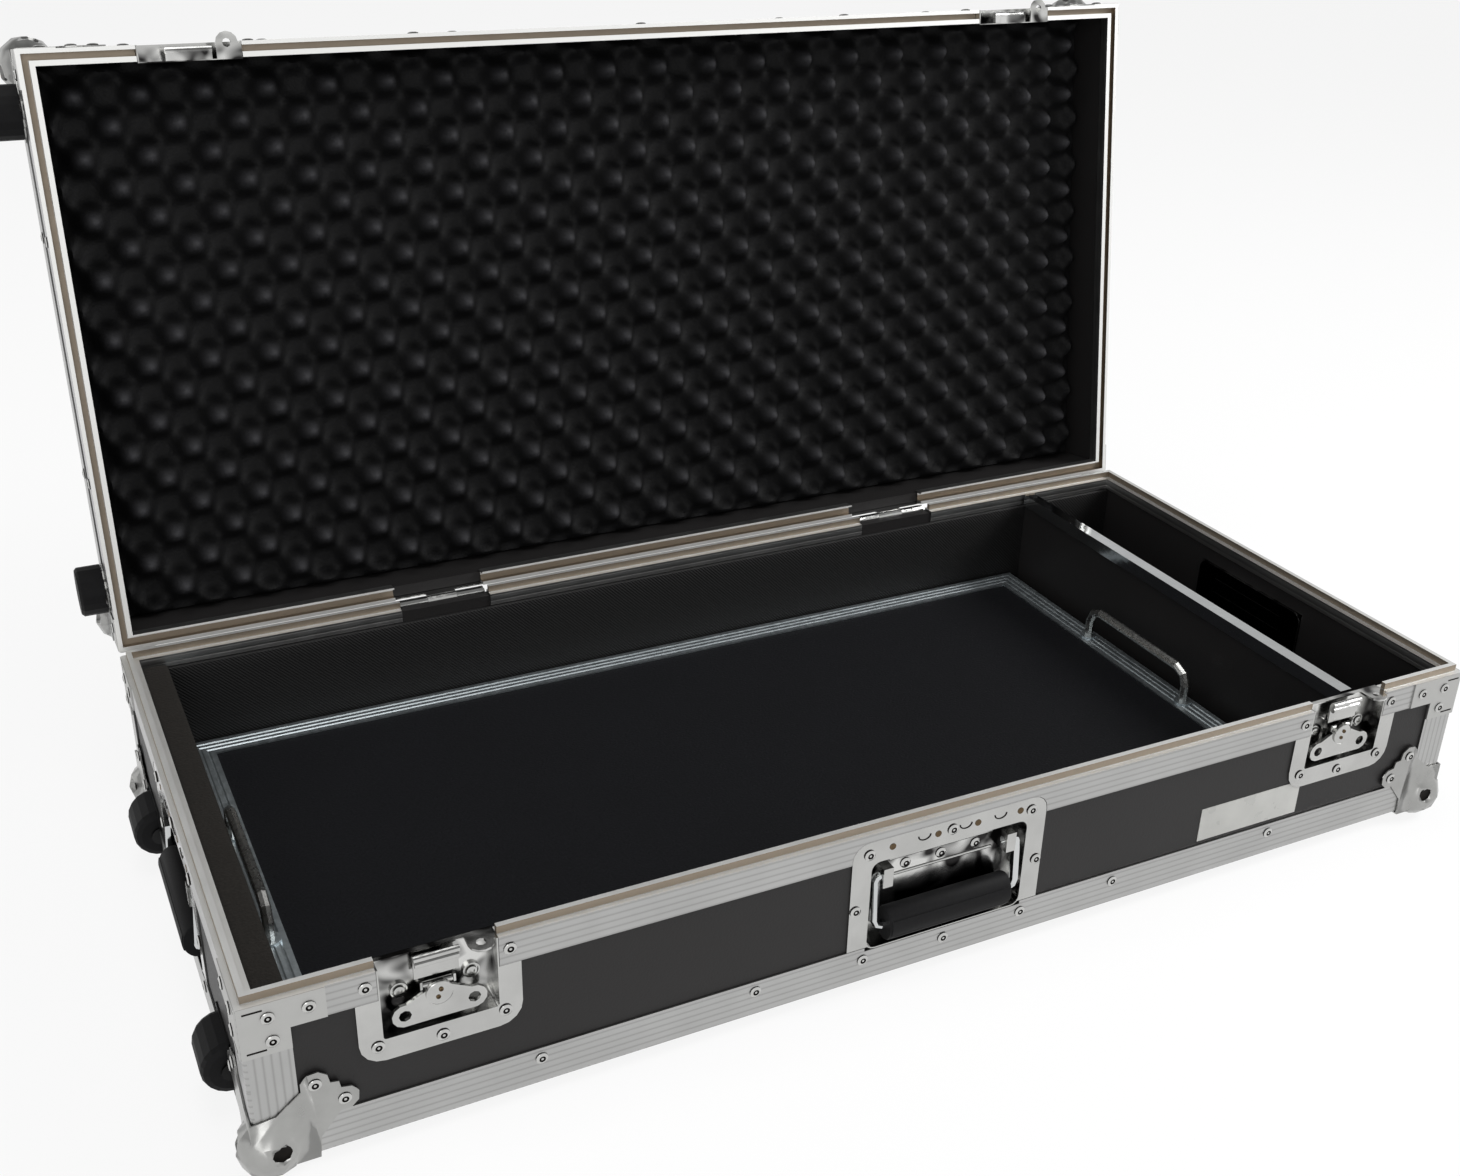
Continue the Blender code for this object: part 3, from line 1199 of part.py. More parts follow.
build_base()
build_latches()
build_handles()
build_rollers()
build_inside()
build_board()
build_lid()
build_hinges()
bpy.context.view_layer.update()
for piece in parts.objects:
    if piece.type == "MESH":
        print(piece.name, sum(len(face.vertices) - 2 for face in piece.data.polygons), "triangles")
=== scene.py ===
# %% [markdown]
# # A guitar pedal case, dressed for its picture
# The case is a plywood flight case: black laminated panels held by ribbed
# aluminium edges, pressed steel corners, latches and handles. The measured model
# already has every rigid part at its true size, so this lesson adds what makes
# it look real: the finishes, the rivets, the soft foam and the small pressed
# marks. The first cell loads that model and keeps its outer box for later.

# %% Load the measured case
from math import cos, pi, radians
import bmesh
import bpy
from mathutils import Matrix, Vector, noise


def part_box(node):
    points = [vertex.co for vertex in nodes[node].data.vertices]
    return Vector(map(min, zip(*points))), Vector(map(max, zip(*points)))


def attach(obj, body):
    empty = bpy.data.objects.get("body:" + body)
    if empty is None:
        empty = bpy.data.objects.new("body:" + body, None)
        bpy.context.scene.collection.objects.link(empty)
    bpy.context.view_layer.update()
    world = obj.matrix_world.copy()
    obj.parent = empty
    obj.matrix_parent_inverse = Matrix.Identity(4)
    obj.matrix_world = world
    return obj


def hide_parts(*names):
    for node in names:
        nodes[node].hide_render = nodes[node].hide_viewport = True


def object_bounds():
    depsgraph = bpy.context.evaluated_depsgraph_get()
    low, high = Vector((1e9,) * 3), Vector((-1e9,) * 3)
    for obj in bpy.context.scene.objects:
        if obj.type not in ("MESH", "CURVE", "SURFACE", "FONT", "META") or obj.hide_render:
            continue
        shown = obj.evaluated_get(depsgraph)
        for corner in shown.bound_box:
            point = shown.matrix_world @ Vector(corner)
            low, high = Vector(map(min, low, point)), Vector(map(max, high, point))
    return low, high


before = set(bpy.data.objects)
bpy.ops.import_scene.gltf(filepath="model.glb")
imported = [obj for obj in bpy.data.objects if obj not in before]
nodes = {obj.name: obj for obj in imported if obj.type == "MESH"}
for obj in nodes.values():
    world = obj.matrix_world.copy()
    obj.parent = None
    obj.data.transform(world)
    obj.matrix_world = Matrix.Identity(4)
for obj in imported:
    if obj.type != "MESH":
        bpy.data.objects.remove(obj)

cad_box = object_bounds()
print("loaded", len(nodes), "parts, box", [[round(v, 3) for v in corner] for corner in cad_box])

# %% [markdown]
# ## Sizes that the added pieces share
# The added pieces sit on the measured ones, so they need the same few sizes:
# the box of the base, the height of the rim, and where the lid turns. The lid
# is easiest to dress as if it were closed, and then everything on it is turned
# open by the same angle as the real lid.

# %% Shared sizes and the frames of the walls
LENGTH, DEPTH, BASE_HEIGHT, LID_HEIGHT = 1.000, 0.468, 0.129, 0.075
SOLE = 0.0015
PARTING = BASE_HEIGHT + 0.0003
LID_TOP = PARTING + LID_HEIGHT
HINGE_PIN = Vector((0, 0.238, 0.1245))
LID_OPEN = radians(98.8)
UP = Vector((0, 0, 1))
WALLS = {"front": (Vector((0, 1, 0)), DEPTH / 2), "right": (Vector((-1, 0, 0)), LENGTH / 2),
         "rear": (Vector((0, -1, 0)), DEPTH / 2), "left": (Vector((1, 0, 0)), LENGTH / 2)}
lid_turn = (Matrix.Translation(HINGE_PIN) @ Matrix.Rotation(-LID_OPEN, 4, "X")
            @ Matrix.Translation(-HINGE_PIN))


def wall_frame(side):
    """A wall's outer face: X along it, Y up from the case's sole, Z outward."""
    inward, reach = WALLS[side]
    across = inward.cross(UP)
    spin = Matrix((across, UP, -inward)).transposed().to_4x4()
    return Matrix.Translation(-inward * reach - UP * SOLE) @ spin


print("lid turns", round(LID_OPEN * 180 / pi, 1), "degrees about", tuple(HINGE_PIN))

# %% [markdown]
# ## The camera
# The picture was taken from the front left, a little above the rim. The place
# and the lens come from solving the straight edges of the case, so that each
# corner lands where the picture has it.

# %% Place the camera
camera_data = bpy.data.cameras.new("picture camera")
camera_data.sensor_width = 36
camera_data.lens = 40.217
camera_data.clip_start = 0.05
camera = bpy.data.objects.new("picture camera", camera_data)
bpy.context.scene.collection.objects.link(camera)
right = Vector((0.89775, -0.43991, 0.02287))
down = Vector((-0.17744, -0.40867, -0.89527))
toward = Vector((0.40318, 0.79967, -0.44495))
camera.matrix_world = (Matrix.Translation((-0.58059, -1.02276, 0.77953))
                       @ Matrix((right, -down, -toward)).transposed().to_4x4())
bpy.context.scene.camera = camera
print("camera at", tuple(round(v, 3) for v in camera.location))

# %% [markdown]
# ## Floor and light
# A white studio floor with three large soft lamps leaves the black foam readable.
# The floor is lifted to white for the camera and for mirrors alone, so it keeps
# the soft shadow and adds no light to the case. The room is white at the horizon
# and darkens towards the ceiling, which gives the metal something to mirror.

# %% One helper for every shader node


def tone(code):
    """A colour written as sRGB hex, as the linear values that shaders use."""
    values = [int(code[i:i + 2], 16) / 255 for i in (1, 3, 5)]
    return [v / 12.92 if v <= 0.04045 else ((v + 0.055) / 1.055) ** 2.4 for v in values] + [1]


def add(tree, kind, links=None, values=None, **settings):
    """Add a node with its settings, its input values and what feeds each input."""
    node = tree.nodes.new("ShaderNode" + kind)
    for name, value in settings.items():
        setattr(node, name, value)
    for key, value in (values or {}).items():
        node.inputs[key].default_value = value
    for key, source in (links or {}).items():
        tree.links.new(source, node.inputs[key])
    return node


def new_material(name):
    """A material with only its shader, ready for the nodes that feed it."""
    material = bpy.data.materials.new(name)
    material.use_nodes = True
    return material, material.node_tree, material.node_tree.nodes["Principled BSDF"]


print("helpers ready, mid grey is", [round(v, 3) for v in tone("#808080")[:3]])

# %% Lay the floor and hang the lamps
scene = bpy.context.scene
scene.view_settings.view_transform = "Standard"
bpy.ops.object.select_all(action="DESELECT")
floor_height = cad_box[0][2]
bpy.ops.mesh.primitive_plane_add(size=30, location=(0, 0, floor_height))
studio_floor = bpy.context.object
studio_floor.name = "studio_floor"
paper, tree, shader = new_material("white studio paper")
shader.inputs["Base Color"].default_value = tone("#f2f2f2")
shader.inputs["Roughness"].default_value = 0.9
shader.inputs["Specular IOR Level"].default_value = 0.1
ray = add(tree, "LightPath")
seen = add(tree, "Math", {0: ray.outputs["Is Camera Ray"], 1: ray.outputs["Is Glossy Ray"]},
           operation="MAXIMUM")
seen = add(tree, "Math", {0: seen.outputs[0], 1: ray.outputs["Is Transmission Ray"]}, operation="MAXIMUM")
glow = add(tree, "Emission", values={"Color": (1, 1, 1, 1), "Strength": 1.0})
share = add(tree, "Math", {0: seen.outputs[0]}, {1: 0.86}, operation="MULTIPLY")
mix = add(tree, "MixShader", {0: share.outputs[0], 1: shader.outputs[0], 2: glow.outputs[0]})
tree.links.new(mix.outputs[0], tree.nodes["Material Output"].inputs["Surface"])
studio_floor.data.materials.append(paper)

world = bpy.data.worlds.new("studio room")
scene.world = world
world.use_nodes = True
tree = world.node_tree
tree.nodes.clear()
ray = add(tree, "LightPath")
seen = add(tree, "Math", {0: ray.outputs["Is Camera Ray"], 1: ray.outputs["Is Glossy Ray"]},
           operation="MAXIMUM")
seen = add(tree, "Math", {0: seen.outputs[0], 1: ray.outputs["Is Transmission Ray"]}, operation="MAXIMUM")
room = add(tree, "Background", values={"Color": (1, 1, 1, 1), "Strength": 0.36})
sky = add(tree, "TexCoord")
height = add(tree, "SeparateXYZ", {0: sky.outputs["Generated"]})
fade = add(tree, "MapRange", {"Value": height.outputs[2]},
           {"From Min": 0.15, "From Max": 0.75, "To Min": 1.0, "To Max": 0.25})
white = add(tree, "Background", {"Strength": fade.outputs[0]}, {"Color": (1, 1, 1, 1)})
mix = add(tree, "MixShader", {0: seen.outputs[0], 1: room.outputs[0], 2: white.outputs[0]})
add(tree, "OutputWorld", {"Surface": mix.outputs[0]})


def hang_lamp(name, place, aim, size, power):
    """A square soft lamp that faces a point."""
    data = bpy.data.lights.new(name, "AREA")
    data.shape = "SQUARE"
    data.size = size
    data.energy = power
    lamp = bpy.data.objects.new(name, data)
    lamp.location = place
    lamp.rotation_euler = (Vector(aim) - Vector(place)).to_track_quat("-Z", "Y").to_euler()
    scene.collection.objects.link(lamp)


hang_lamp("key", place=(2.4, -0.9, 2.1), aim=(0, 0, 0.2), size=1.2, power=70)
hang_lamp("fill", place=(-1.6, -2.6, 1.4), aim=(0, 0, 0.1), size=1.8, power=26)
hang_lamp("top", place=(-0.4, 0.2, 2.8), aim=(0, 0, 0.1), size=1.4, power=24)
print("floor at", round(floor_height, 4), "with three lamps")

# %% [markdown]
# ## Black laminate
# The panels are plywood faced with a hard black plastic laminate. Its surface
# is embossed with a fine grain of about a millimetre, which catches a broad
# soft highlight and makes the black look like dark charcoal.

# %% Make the laminate


def object_place(tree, turn=None):
    """Object coordinates, turned back to the closed lid's where turn is given."""
    coordinates = add(tree, "TexCoord")
    if turn is None:
        return coordinates.outputs["Object"], coordinates.outputs["Normal"]
    back = turn.inverted()
    angles = back.to_euler()
    place = add(tree, "Mapping", {"Vector": coordinates.outputs["Object"]},
                {"Location": back.translation, "Rotation": angles})
    normal = add(tree, "Mapping", {"Vector": coordinates.outputs["Normal"]},
                 {"Rotation": angles}, vector_type="NORMAL")
    return place.outputs[0], normal.outputs[0]


def grain(tree, place, millimetres, detail=3):
    """Noise whose patches are about this wide."""
    return add(tree, "TexNoise", {"Vector": place},
               {"Scale": 1000 / millimetres, "Detail": detail}).outputs["Fac"]


def between(tree, value, low, high):
    """Spread a zero to one value between two numbers."""
    return add(tree, "MapRange", {"Value": value}, {"To Min": low, "To Max": high}).outputs[0]


def blend(tree, share, first, second):
    """A colour between two, by a share."""
    mixer = add(tree, "Mix", {0: share}, data_type="RGBA")
    for slot, colour in ((6, first), (7, second)):
        if isinstance(colour, str):
            mixer.inputs[slot].default_value = tone(colour)
        else:
            tree.links.new(colour, mixer.inputs[slot])
    return mixer.outputs[2]


def emboss(tree, shader, height, depth, strength=1.0):
    """Drive the shader's normal from a height pattern, its depth in metres."""
    bump = add(tree, "Bump", {"Height": height}, {"Distance": depth, "Strength": strength})
    tree.links.new(bump.outputs[0], shader.inputs["Normal"])
    return bump


laminate, tree, shader = new_material("black phenolic laminate")
place, _ = object_place(tree)
fine = grain(tree, place, 1.6)
broad = grain(tree, place, 90, 2)
colour = blend(tree, broad, "#181717", "#201f1f")
colour = blend(tree, between(tree, fine, 0.0, 0.35), colour, "#2f2d2d")
tree.links.new(colour, shader.inputs["Base Color"])
tree.links.new(between(tree, fine, 0.42, 0.58), shader.inputs["Roughness"])
shader.inputs["Specular IOR Level"].default_value = 0.28
emboss(tree, shader, fine, 0.0003, 0.5)
print("laminate grain 1.6 mm")

# %% [markdown]
# ## Ribbed aluminium
# The edges are extruded aluminium with fine lines that run along each length,
# about six in thirty millimetres, so they are cut at the mitres. On any face
# the distance to its nearest edge counts the lines, which turns them round each
# mitre by itself. The folded braces stand proud of the wall and the top of the
# rim is bare, so both are kept smooth. The bare top of the rim and its tongue
# are also coloured near white as a painted highlight. The sides of the tongue,
# and the groove of the lid that it enters, are coloured a darker brown.

# %% Make the ribbed extrusion
LINE_PITCH, LINE_DEPTH, LINE_SHARPNESS = 0.0052, 0.0003, 5.0
BRACE_STANDS = 0.0006
RIM_BAND, GROOVE_BAND = 0.0075, 0.009
GROOVE_FROM, GROOVE_TO = 0.0028, 0.0079
PAST_EDGE, PAST_LIP = 0.0004, 0.0005
LEVEL = 0.6


def do(tree, operation, first, second=None):
    """One sum on one or two values, each a socket or a plain number."""
    node = add(tree, "Math", operation=operation)
    for slot, value in enumerate((first, second)):
        if isinstance(value, (int, float)):
            node.inputs[slot].default_value = value
        elif value is not None:
            tree.links.new(value, node.inputs[slot])
    return node.outputs[0]


def off_walls(tree, place):
    """How far a point is inside the outer walls along X and along Y, and its height."""
    spot = add(tree, "SeparateXYZ", {0: place})
    from_x = do(tree, "SUBTRACT", LENGTH / 2, do(tree, "ABSOLUTE", spot.outputs[0]))
    from_y = do(tree, "SUBTRACT", DEPTH / 2, do(tree, "ABSOLUTE", spot.outputs[1]))
    return from_x, from_y, spot.outputs[2]


def ribbed_aluminium(name, low, high, rim, upward, turn=None):
    """Satin aluminium with lines counted from the nearest edge of a box of walls."""
    material, tree, shader = new_material(name)
    place, normal = object_place(tree, turn)
    facing = add(tree, "SeparateXYZ", {0: normal})
    from_x, from_y, height = off_walls(tree, place)
    aside = [do(tree, "ABSOLUTE", facing.outputs[axis]) for axis in range(3)]
    from_z = do(tree, "SUBTRACT", (high - low) / 2,
                do(tree, "ABSOLUTE", do(tree, "SUBTRACT", height, (low + high) / 2)))
    nearest = None
    for distance, away in zip((from_x, from_y, from_z), aside):
        reach = do(tree, "ADD", do(tree, "ABSOLUTE", distance), away)
        nearest = reach if nearest is None else do(tree, "MINIMUM", nearest, reach)
    wave = do(tree, "SINE", do(tree, "MULTIPLY", nearest, 2 * pi / LINE_PITCH))
    line = do(tree, "POWER", do(tree, "MULTIPLY", do(tree, "ADD", wave, 1.0), 0.5), LINE_SHARPNESS)

    inward = do(tree, "MINIMUM", from_x, from_y)
    proud = do(tree, "LESS_THAN", inward, -BRACE_STANDS)
    past_rim = do(tree, "MULTIPLY", do(tree, "SUBTRACT", height, rim), upward)
    level = do(tree, "GREATER_THAN", aside[2], LEVEL)
    near_rim = do(tree, "LESS_THAN", do(tree, "ABSOLUTE", past_rim), RIM_BAND)
    bare_and_highlit = do(tree, "MAXIMUM", proud, do(tree, "MULTIPLY", near_rim, level))
    bare_and_highlit = do(tree, "MAXIMUM", bare_and_highlit, do(tree, "GREATER_THAN", past_rim, PAST_EDGE))
    line = do(tree, "MULTIPLY", line, do(tree, "SUBTRACT", 1.0, bare_and_highlit))

    # The tongue's sides and the lid's groove are coloured a darker brown.
    past_lip = do(tree, "GREATER_THAN", do(tree, "SUBTRACT", height, rim), PAST_LIP)
    in_groove = do(tree, "MULTIPLY", do(tree, "GREATER_THAN", inward, GROOVE_FROM),
                   do(tree, "LESS_THAN", inward, GROOVE_TO))
    brown_band = do(tree, "MULTIPLY", past_lip, in_groove)
    if upward > 0:
        brown_band = do(tree, "MULTIPLY", brown_band, do(tree, "LESS_THAN", aside[2], LEVEL))
    else:
        near = do(tree, "LESS_THAN", do(tree, "ABSOLUTE", past_rim), GROOVE_BAND)
        brown_band = do(tree, "MULTIPLY", brown_band, near)

    streak = add(tree, "TexNoise", {"Vector": place}, {"Scale": 60, "Detail": 4, "Roughness": 0.7})
    handled = grain(tree, place, 45, 2)
    satin = blend(tree, handled, "#a3a3a2", "#b6b6b5")
    satin = blend(tree, between(tree, streak.outputs["Fac"], 0.0, 0.3), satin, "#c3c3c2")
    satin = blend(tree, do(tree, "MULTIPLY", line, 0.34), satin, "#6f6e6c")
    # Painted highlight: the bare top of the rim and its tongue are coloured near white.
    satin = blend(tree, bare_and_highlit, satin, "#dcdcda")
    satin = blend(tree, proud, satin, "#b9b9b7")
    tree.links.new(blend(tree, brown_band, satin, "#93887a"), shader.inputs["Base Color"])
    rough = between(tree, streak.outputs["Fac"], 0.28, 0.44)
    tree.links.new(do(tree, "ADD", rough, do(tree, "MULTIPLY", bare_and_highlit, 0.18)), shader.inputs["Roughness"])
    shader.inputs["Metallic"].default_value = 1.0
    bump = emboss(tree, shader, line, LINE_DEPTH, 0.5)
    bump.invert = True
    return material


base_extrusion = ribbed_aluminium("satin ribbed aluminium", -SOLE, BASE_HEIGHT - SOLE,
                                  BASE_HEIGHT - SOLE, 1.0)
lid_extrusion = ribbed_aluminium("satin ribbed aluminium, lid", PARTING - SOLE, LID_TOP - SOLE,
                                 PARTING - SOLE, -1.0, lid_turn)
print("lines every", LINE_PITCH * 1000, "mm")

# %% [markdown]
# ## Plated steel, chrome and dark steel
# Latches, handles and corners are pressed from sheet and plated with bright
# nickel or zinc. Plating is a mirror with a slight haze and faint patches where
# hands have rubbed it. The wires are polished harder, and the roller boxes are
# left dark. Inside the lip of a dish, soft bands of dark and light are painted
# into its colour as a painted reflection of the dark case about it, and its back
# is black.

# %% Make the plated metals


def plated(name, dark, light, rough, patch, depth):
    """A plated metal with faint patches and a shallow waviness from the press."""
    material, tree, shader = new_material(name)
    place, _ = object_place(tree)
    patches = grain(tree, place, patch, 4)
    waves = grain(tree, place, 11, 1)
    tree.links.new(blend(tree, patches, dark, light), shader.inputs["Base Color"])
    tree.links.new(between(tree, patches, rough * 0.75, rough * 1.35), shader.inputs["Roughness"])
    shader.inputs["Metallic"].default_value = 1.0
    emboss(tree, shader, waves, depth, 0.6)
    return material


DISH_LIP, DISH_INSIDE, DISH_BACK = 0.0012, 0.0070, 0.0131


def pressed_dish(name, turn=None):
    """Nickel, plain on its flange, with a painted reflection of the dark case inside and black on its back.
    """
    material, tree, shader = new_material(name)
    place, _ = object_place(tree, turn)
    from_x, from_y, _ = off_walls(tree, place)
    sunk = do(tree, "MINIMUM", do(tree, "ABSOLUTE", from_x), do(tree, "ABSOLUTE", from_y))
    inside = add(tree, "MapRange", {"Value": sunk}, {"From Min": DISH_LIP, "From Max": DISH_INSIDE})
    patches = grain(tree, place, 30, 4)
    painted_reflection = add(tree, "TexNoise", {"Vector": place}, {"Scale": 46, "Detail": 1, "Distortion": 0.7})
    painted_reflection = add(tree, "MapRange", {"Value": painted_reflection.outputs["Fac"]},
                 {"From Min": 0.36, "From Max": 0.62})
    plate = blend(tree, patches, "#a9a9a7", "#c6c6c4")
    # Painted reflection: bands of dark and light inside the dish, standing in for the dark case that it
    # mirrors.
    depth = blend(tree, painted_reflection.outputs[0], "#2b2a2a", "#cfcfcd")
    depth = blend(tree, do(tree, "GREATER_THAN", sunk, DISH_BACK), depth, "#1a1919")
    tree.links.new(blend(tree, inside.outputs[0], plate, depth), shader.inputs["Base Color"])
    tree.links.new(between(tree, patches, 0.12, 0.24), shader.inputs["Roughness"])
    shader.inputs["Metallic"].default_value = 1.0
    emboss(tree, shader, grain(tree, place, 12, 1), 0.0004, 0.6)
    return material


nickel = plated("bright nickel plated steel", "#a2a2a0", "#c9c9c7", 0.16, 30, 0.0006)
dish_nickel = pressed_dish("pressed nickel dish")
lid_dish_nickel = pressed_dish("pressed nickel dish, lid", lid_turn)
corner_zinc = plated("satin zinc plated steel", "#90908e", "#b4b4b2", 0.28, 24, 0.0008)
chrome = plated("polished chrome wire", "#b7b9ba", "#d6d8d8", 0.10, 40, 0.0002)
dark_steel = plated("black passivated steel", "#1b1b1c", "#343434", 0.42, 16, 0.0003)
rivet_steel = plated("tinned rivet steel", "#aeaeac", "#cfcfcd", 0.20, 12, 0.0002)
# Painted shade: a near black steel for rivet dimples and sides, corner sockets, brace slots and lanced
# crescents.
shadow_steel = plated("dark steel, painted shade", "#171615", "#2a2725", 0.5, 6, 0.0001)
# A brown for the pierced spots and the butterfly's small rivets.
bronze_edge = plated("brown pierced edge", "#3d3227", "#75634a", 0.4, 3, 0.0001)
print("nine plated metals")

# %% [markdown]
# ## Rubber, foam and the board's covering
# Rubber is nearly black and dull. Open-cell foam swallows light: it is darker
# still. The lid's foam is painted grey on its peaks as painted light and near
# black in its valleys as painted shade. The linings are a ribbed soft sheet, and
# the board is covered in a short dense pile whose tips sparkle a little.

# %% Make the soft materials


def soft(name, dark, light, cell, depth, rough, sheen, strength=0.8):
    """A matte material with cells of a given size and a soft sheen."""
    material, tree, shader = new_material(name)
    place, _ = object_place(tree)
    cells = grain(tree, place, cell, 4)
    patches = grain(tree, place, 60, 2)
    colour = blend(tree, cells, dark, light)
    colour = blend(tree, between(tree, patches, 0.0, 0.30), colour, dark)
    tree.links.new(colour, shader.inputs["Base Color"])
    tree.links.new(between(tree, cells, rough, min(1.0, rough + 0.12)), shader.inputs["Roughness"])
    shader.inputs["Specular IOR Level"].default_value = 0.12
    shader.inputs["Sheen Weight"].default_value = sheen
    shader.inputs["Sheen Roughness"].default_value = 0.45
    emboss(tree, shader, cells, depth, strength)
    return material


rubber = soft("moulded black rubber", "#0d0d0e", "#1d1d1e", 2.5, 0.0003, 0.55, 0.02, 0.4)
pad_foam = soft("dusty polyurethane foam", "#12110f", "#2f2c29", 2.0, 0.0010, 0.85, 0.02)
carpet = soft("short dense pile carpet", "#060607", "#17181c", 2.2, 0.0010, 0.62, 0.01)
print("foam cells 2 mm, pile 2.2 mm")

# %% Make the black foam of the lid
FOAM_BACK = LID_TOP - SOLE - 0.0108
FOAM_VALLEY = FOAM_BACK - 0.0125
FOAM_DARK = FOAM_BACK - 0.0235
FOAM_TALL = 0.0265
foam, tree, shader = new_material("open-cell acoustic foam")
place, _ = object_place(tree, lid_turn)
spot = add(tree, "SeparateXYZ", {0: place})
# Painted light and shade: the foam is coloured near black in its valleys and grey at its peaks, by height.
rise = add(tree, "MapRange", {"Value": spot.outputs[2]},
           {"From Min": FOAM_DARK, "From Max": FOAM_VALLEY - FOAM_TALL})
cells = grain(tree, place, 2.2, 4)
tip = blend(tree, cells, "#1a1a1c", "#37373a")
tree.links.new(blend(tree, do(tree, "POWER", rise.outputs[0], 1.4), "#020203", tip),
               shader.inputs["Base Color"])
tree.links.new(between(tree, cells, 0.62, 0.80), shader.inputs["Roughness"])
shader.inputs["Specular IOR Level"].default_value = 0.25
emboss(tree, shader, cells, 0.0009, 0.7)
print("foam stands", FOAM_TALL * 1000, "mm tall")

# %% Make the ribbed lining sheet
LINING_PITCH = 0.0032
lining, tree, shader = new_material("ribbed lining sheet")
place, _ = object_place(tree)
spot = add(tree, "SeparateXYZ", {0: place})
slant = do(tree, "ADD", do(tree, "ADD", spot.outputs[0], spot.outputs[1]), spot.outputs[2])
wave = do(tree, "SINE", do(tree, "MULTIPLY", slant, 2 * pi / LINING_PITCH))
ribs = add(tree, "MapRange", {"Value": wave}, {"From Min": -1.0})
cells = grain(tree, place, 1.5)
both = do(tree, "ADD", ribs.outputs[0], cells)
tree.links.new(blend(tree, between(tree, both, 0.0, 0.5), "#060606", "#181717"),
               shader.inputs["Base Color"])
tree.links.new(between(tree, cells, 0.5, 0.68), shader.inputs["Roughness"])
shader.inputs["Specular IOR Level"].default_value = 0.3
emboss(tree, shader, both, 0.0005, 0.6)
print("lining ribs", LINING_PITCH * 1000, "mm apart")

# %% [markdown]
# ## Dressing the measured parts
# Each measured part keeps its shape and takes a finish from the list above. The
# board's edging and its two lifting loops are one part, so its finish changes
# from satin to polished where the loops stand above the deck.

# %% Give each part its finish
BOARD_DECK = 0.0452
trim_finish, tree, shader = new_material("anodised board edging")
place, _ = object_place(tree)
spot = add(tree, "SeparateXYZ", {0: place})
above = do(tree, "GREATER_THAN", spot.outputs[2], BOARD_DECK)
brushed = add(tree, "TexNoise", {"Vector": place}, {"Scale": 220, "Detail": 3}).outputs["Fac"]
satin = blend(tree, brushed, "#9fa8ac", "#c9d0d3")
tree.links.new(blend(tree, above, satin, "#cfcfcc"), shader.inputs["Base Color"])
gloss = do(tree, "MULTIPLY", above, -0.14)
tree.links.new(do(tree, "ADD", between(tree, brushed, 0.34, 0.50), gloss), shader.inputs["Roughness"])
shader.inputs["Metallic"].default_value = 1.0
emboss(tree, shader, brushed, 0.0001, 0.2)


def finish_of(name):
    """The finish that a measured part is made in."""
    if name == "board_trim":
        return trim_finish
    if name in ("lid_frame", "lid_rim_front", "lid_rim_rear"):
        return lid_extrusion
    if name in ("base_frame", "base_rim_front", "base_rim_rear"):
        return base_extrusion
    if "panel" in name or name in ("base_floor", "divider"):
        return laminate
    if "_ball_" in name:
        return corner_zinc
    if "wire" in name or name == "divider_cap":
        return chrome
    if "housing" in name:
        return dark_steel
    if name.startswith("lid_latch_dish"):
        return lid_dish_nickel
    if "_dish_" in name:
        return dish_nickel
    if "grip" in name or name.startswith("wheel_") or "rubber" in name:
        return rubber
    return carpet if name == "pedal_board" else nickel


for name, part in nodes.items():
    part.data.materials.clear()
    part.data.materials.append(finish_of(name))
print("dressed", len(nodes), "parts")

# %% [markdown]
# ## Rivets
# A flight case is held by hundreds of drive rivets. Each is a low dome with a
# dimple round the pin that was driven in, so it shows a bright ring, a dark ring
# and a bright point. The dark ring is painted shade in the dimple, and the sides
# of each rivet are painted dark as a painted shadow round its edge. One rivet is
# shaped from a short cylinder by insetting its top and lifting it in steps, and
# then copied to each place.

# %% Helpers for shaping in edit mode


def plain_start():
    """Leave edit mode and select nothing."""
    if bpy.context.object and bpy.context.object.mode == "EDIT":
        bpy.ops.object.mode_set(mode="OBJECT")
    bpy.ops.object.select_all(action="DESELECT")


def pick(piece, wanted):
    """In edit mode, select the faces that pass a test on centre and normal."""
    form = bmesh.from_edit_mesh(piece.data)
    for vertex in form.verts:
        vertex.select = False
    for edge in form.edges:
        edge.select = False
    for face in form.faces:
        face.select = wanted(face.calc_center_median(), face.normal)
    bmesh.update_edit_mesh(piece.data)


def inset(width):
    bpy.ops.mesh.inset(thickness=width)


def shift(x=0, y=0, z=0):
    bpy.ops.transform.translate(value=(x, y, z))


def settle(piece):
    """Apply a piece's modifiers and its place, so its object sits at the origin."""
    plain_start()
    bpy.context.view_layer.objects.active = piece
    piece.select_set(True)
    for modifier in list(piece.modifiers):
        bpy.ops.object.modifier_apply(modifier=modifier.name)
    bpy.ops.object.transform_apply(location=True, rotation=True, scale=True)
    return piece


def smooth(piece, angle=35):
    plain_start()
    bpy.context.view_layer.objects.active = piece
    piece.select_set(True)
    bpy.ops.object.shade_smooth_by_angle(angle=radians(angle))
    return piece


def copies(master, places, name):
    """A piece made of copies of a master, each copy turned to its place."""
    plain_start()
    made = []
    for place in places:
        copy = bpy.data.objects.new(name, master.data.copy())
        scene.collection.objects.link(copy)
        copy.data.transform(place)
        if place.determinant() < 0:
            copy.data.flip_normals()
        copy.select_set(True)
        made.append(copy)
    bpy.context.view_layer.objects.active = made[0]
    bpy.ops.object.join()
    whole = made[0]
    whole.name = name
    return whole


def add_piece(piece, body, finish):
    """Give a piece its finish, unless it has its own, and the body that it rides on."""
    if finish:
        piece.data.materials.clear()
        piece.data.materials.append(finish)
    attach(piece, body)
    return piece


print("edit-mode helpers ready")

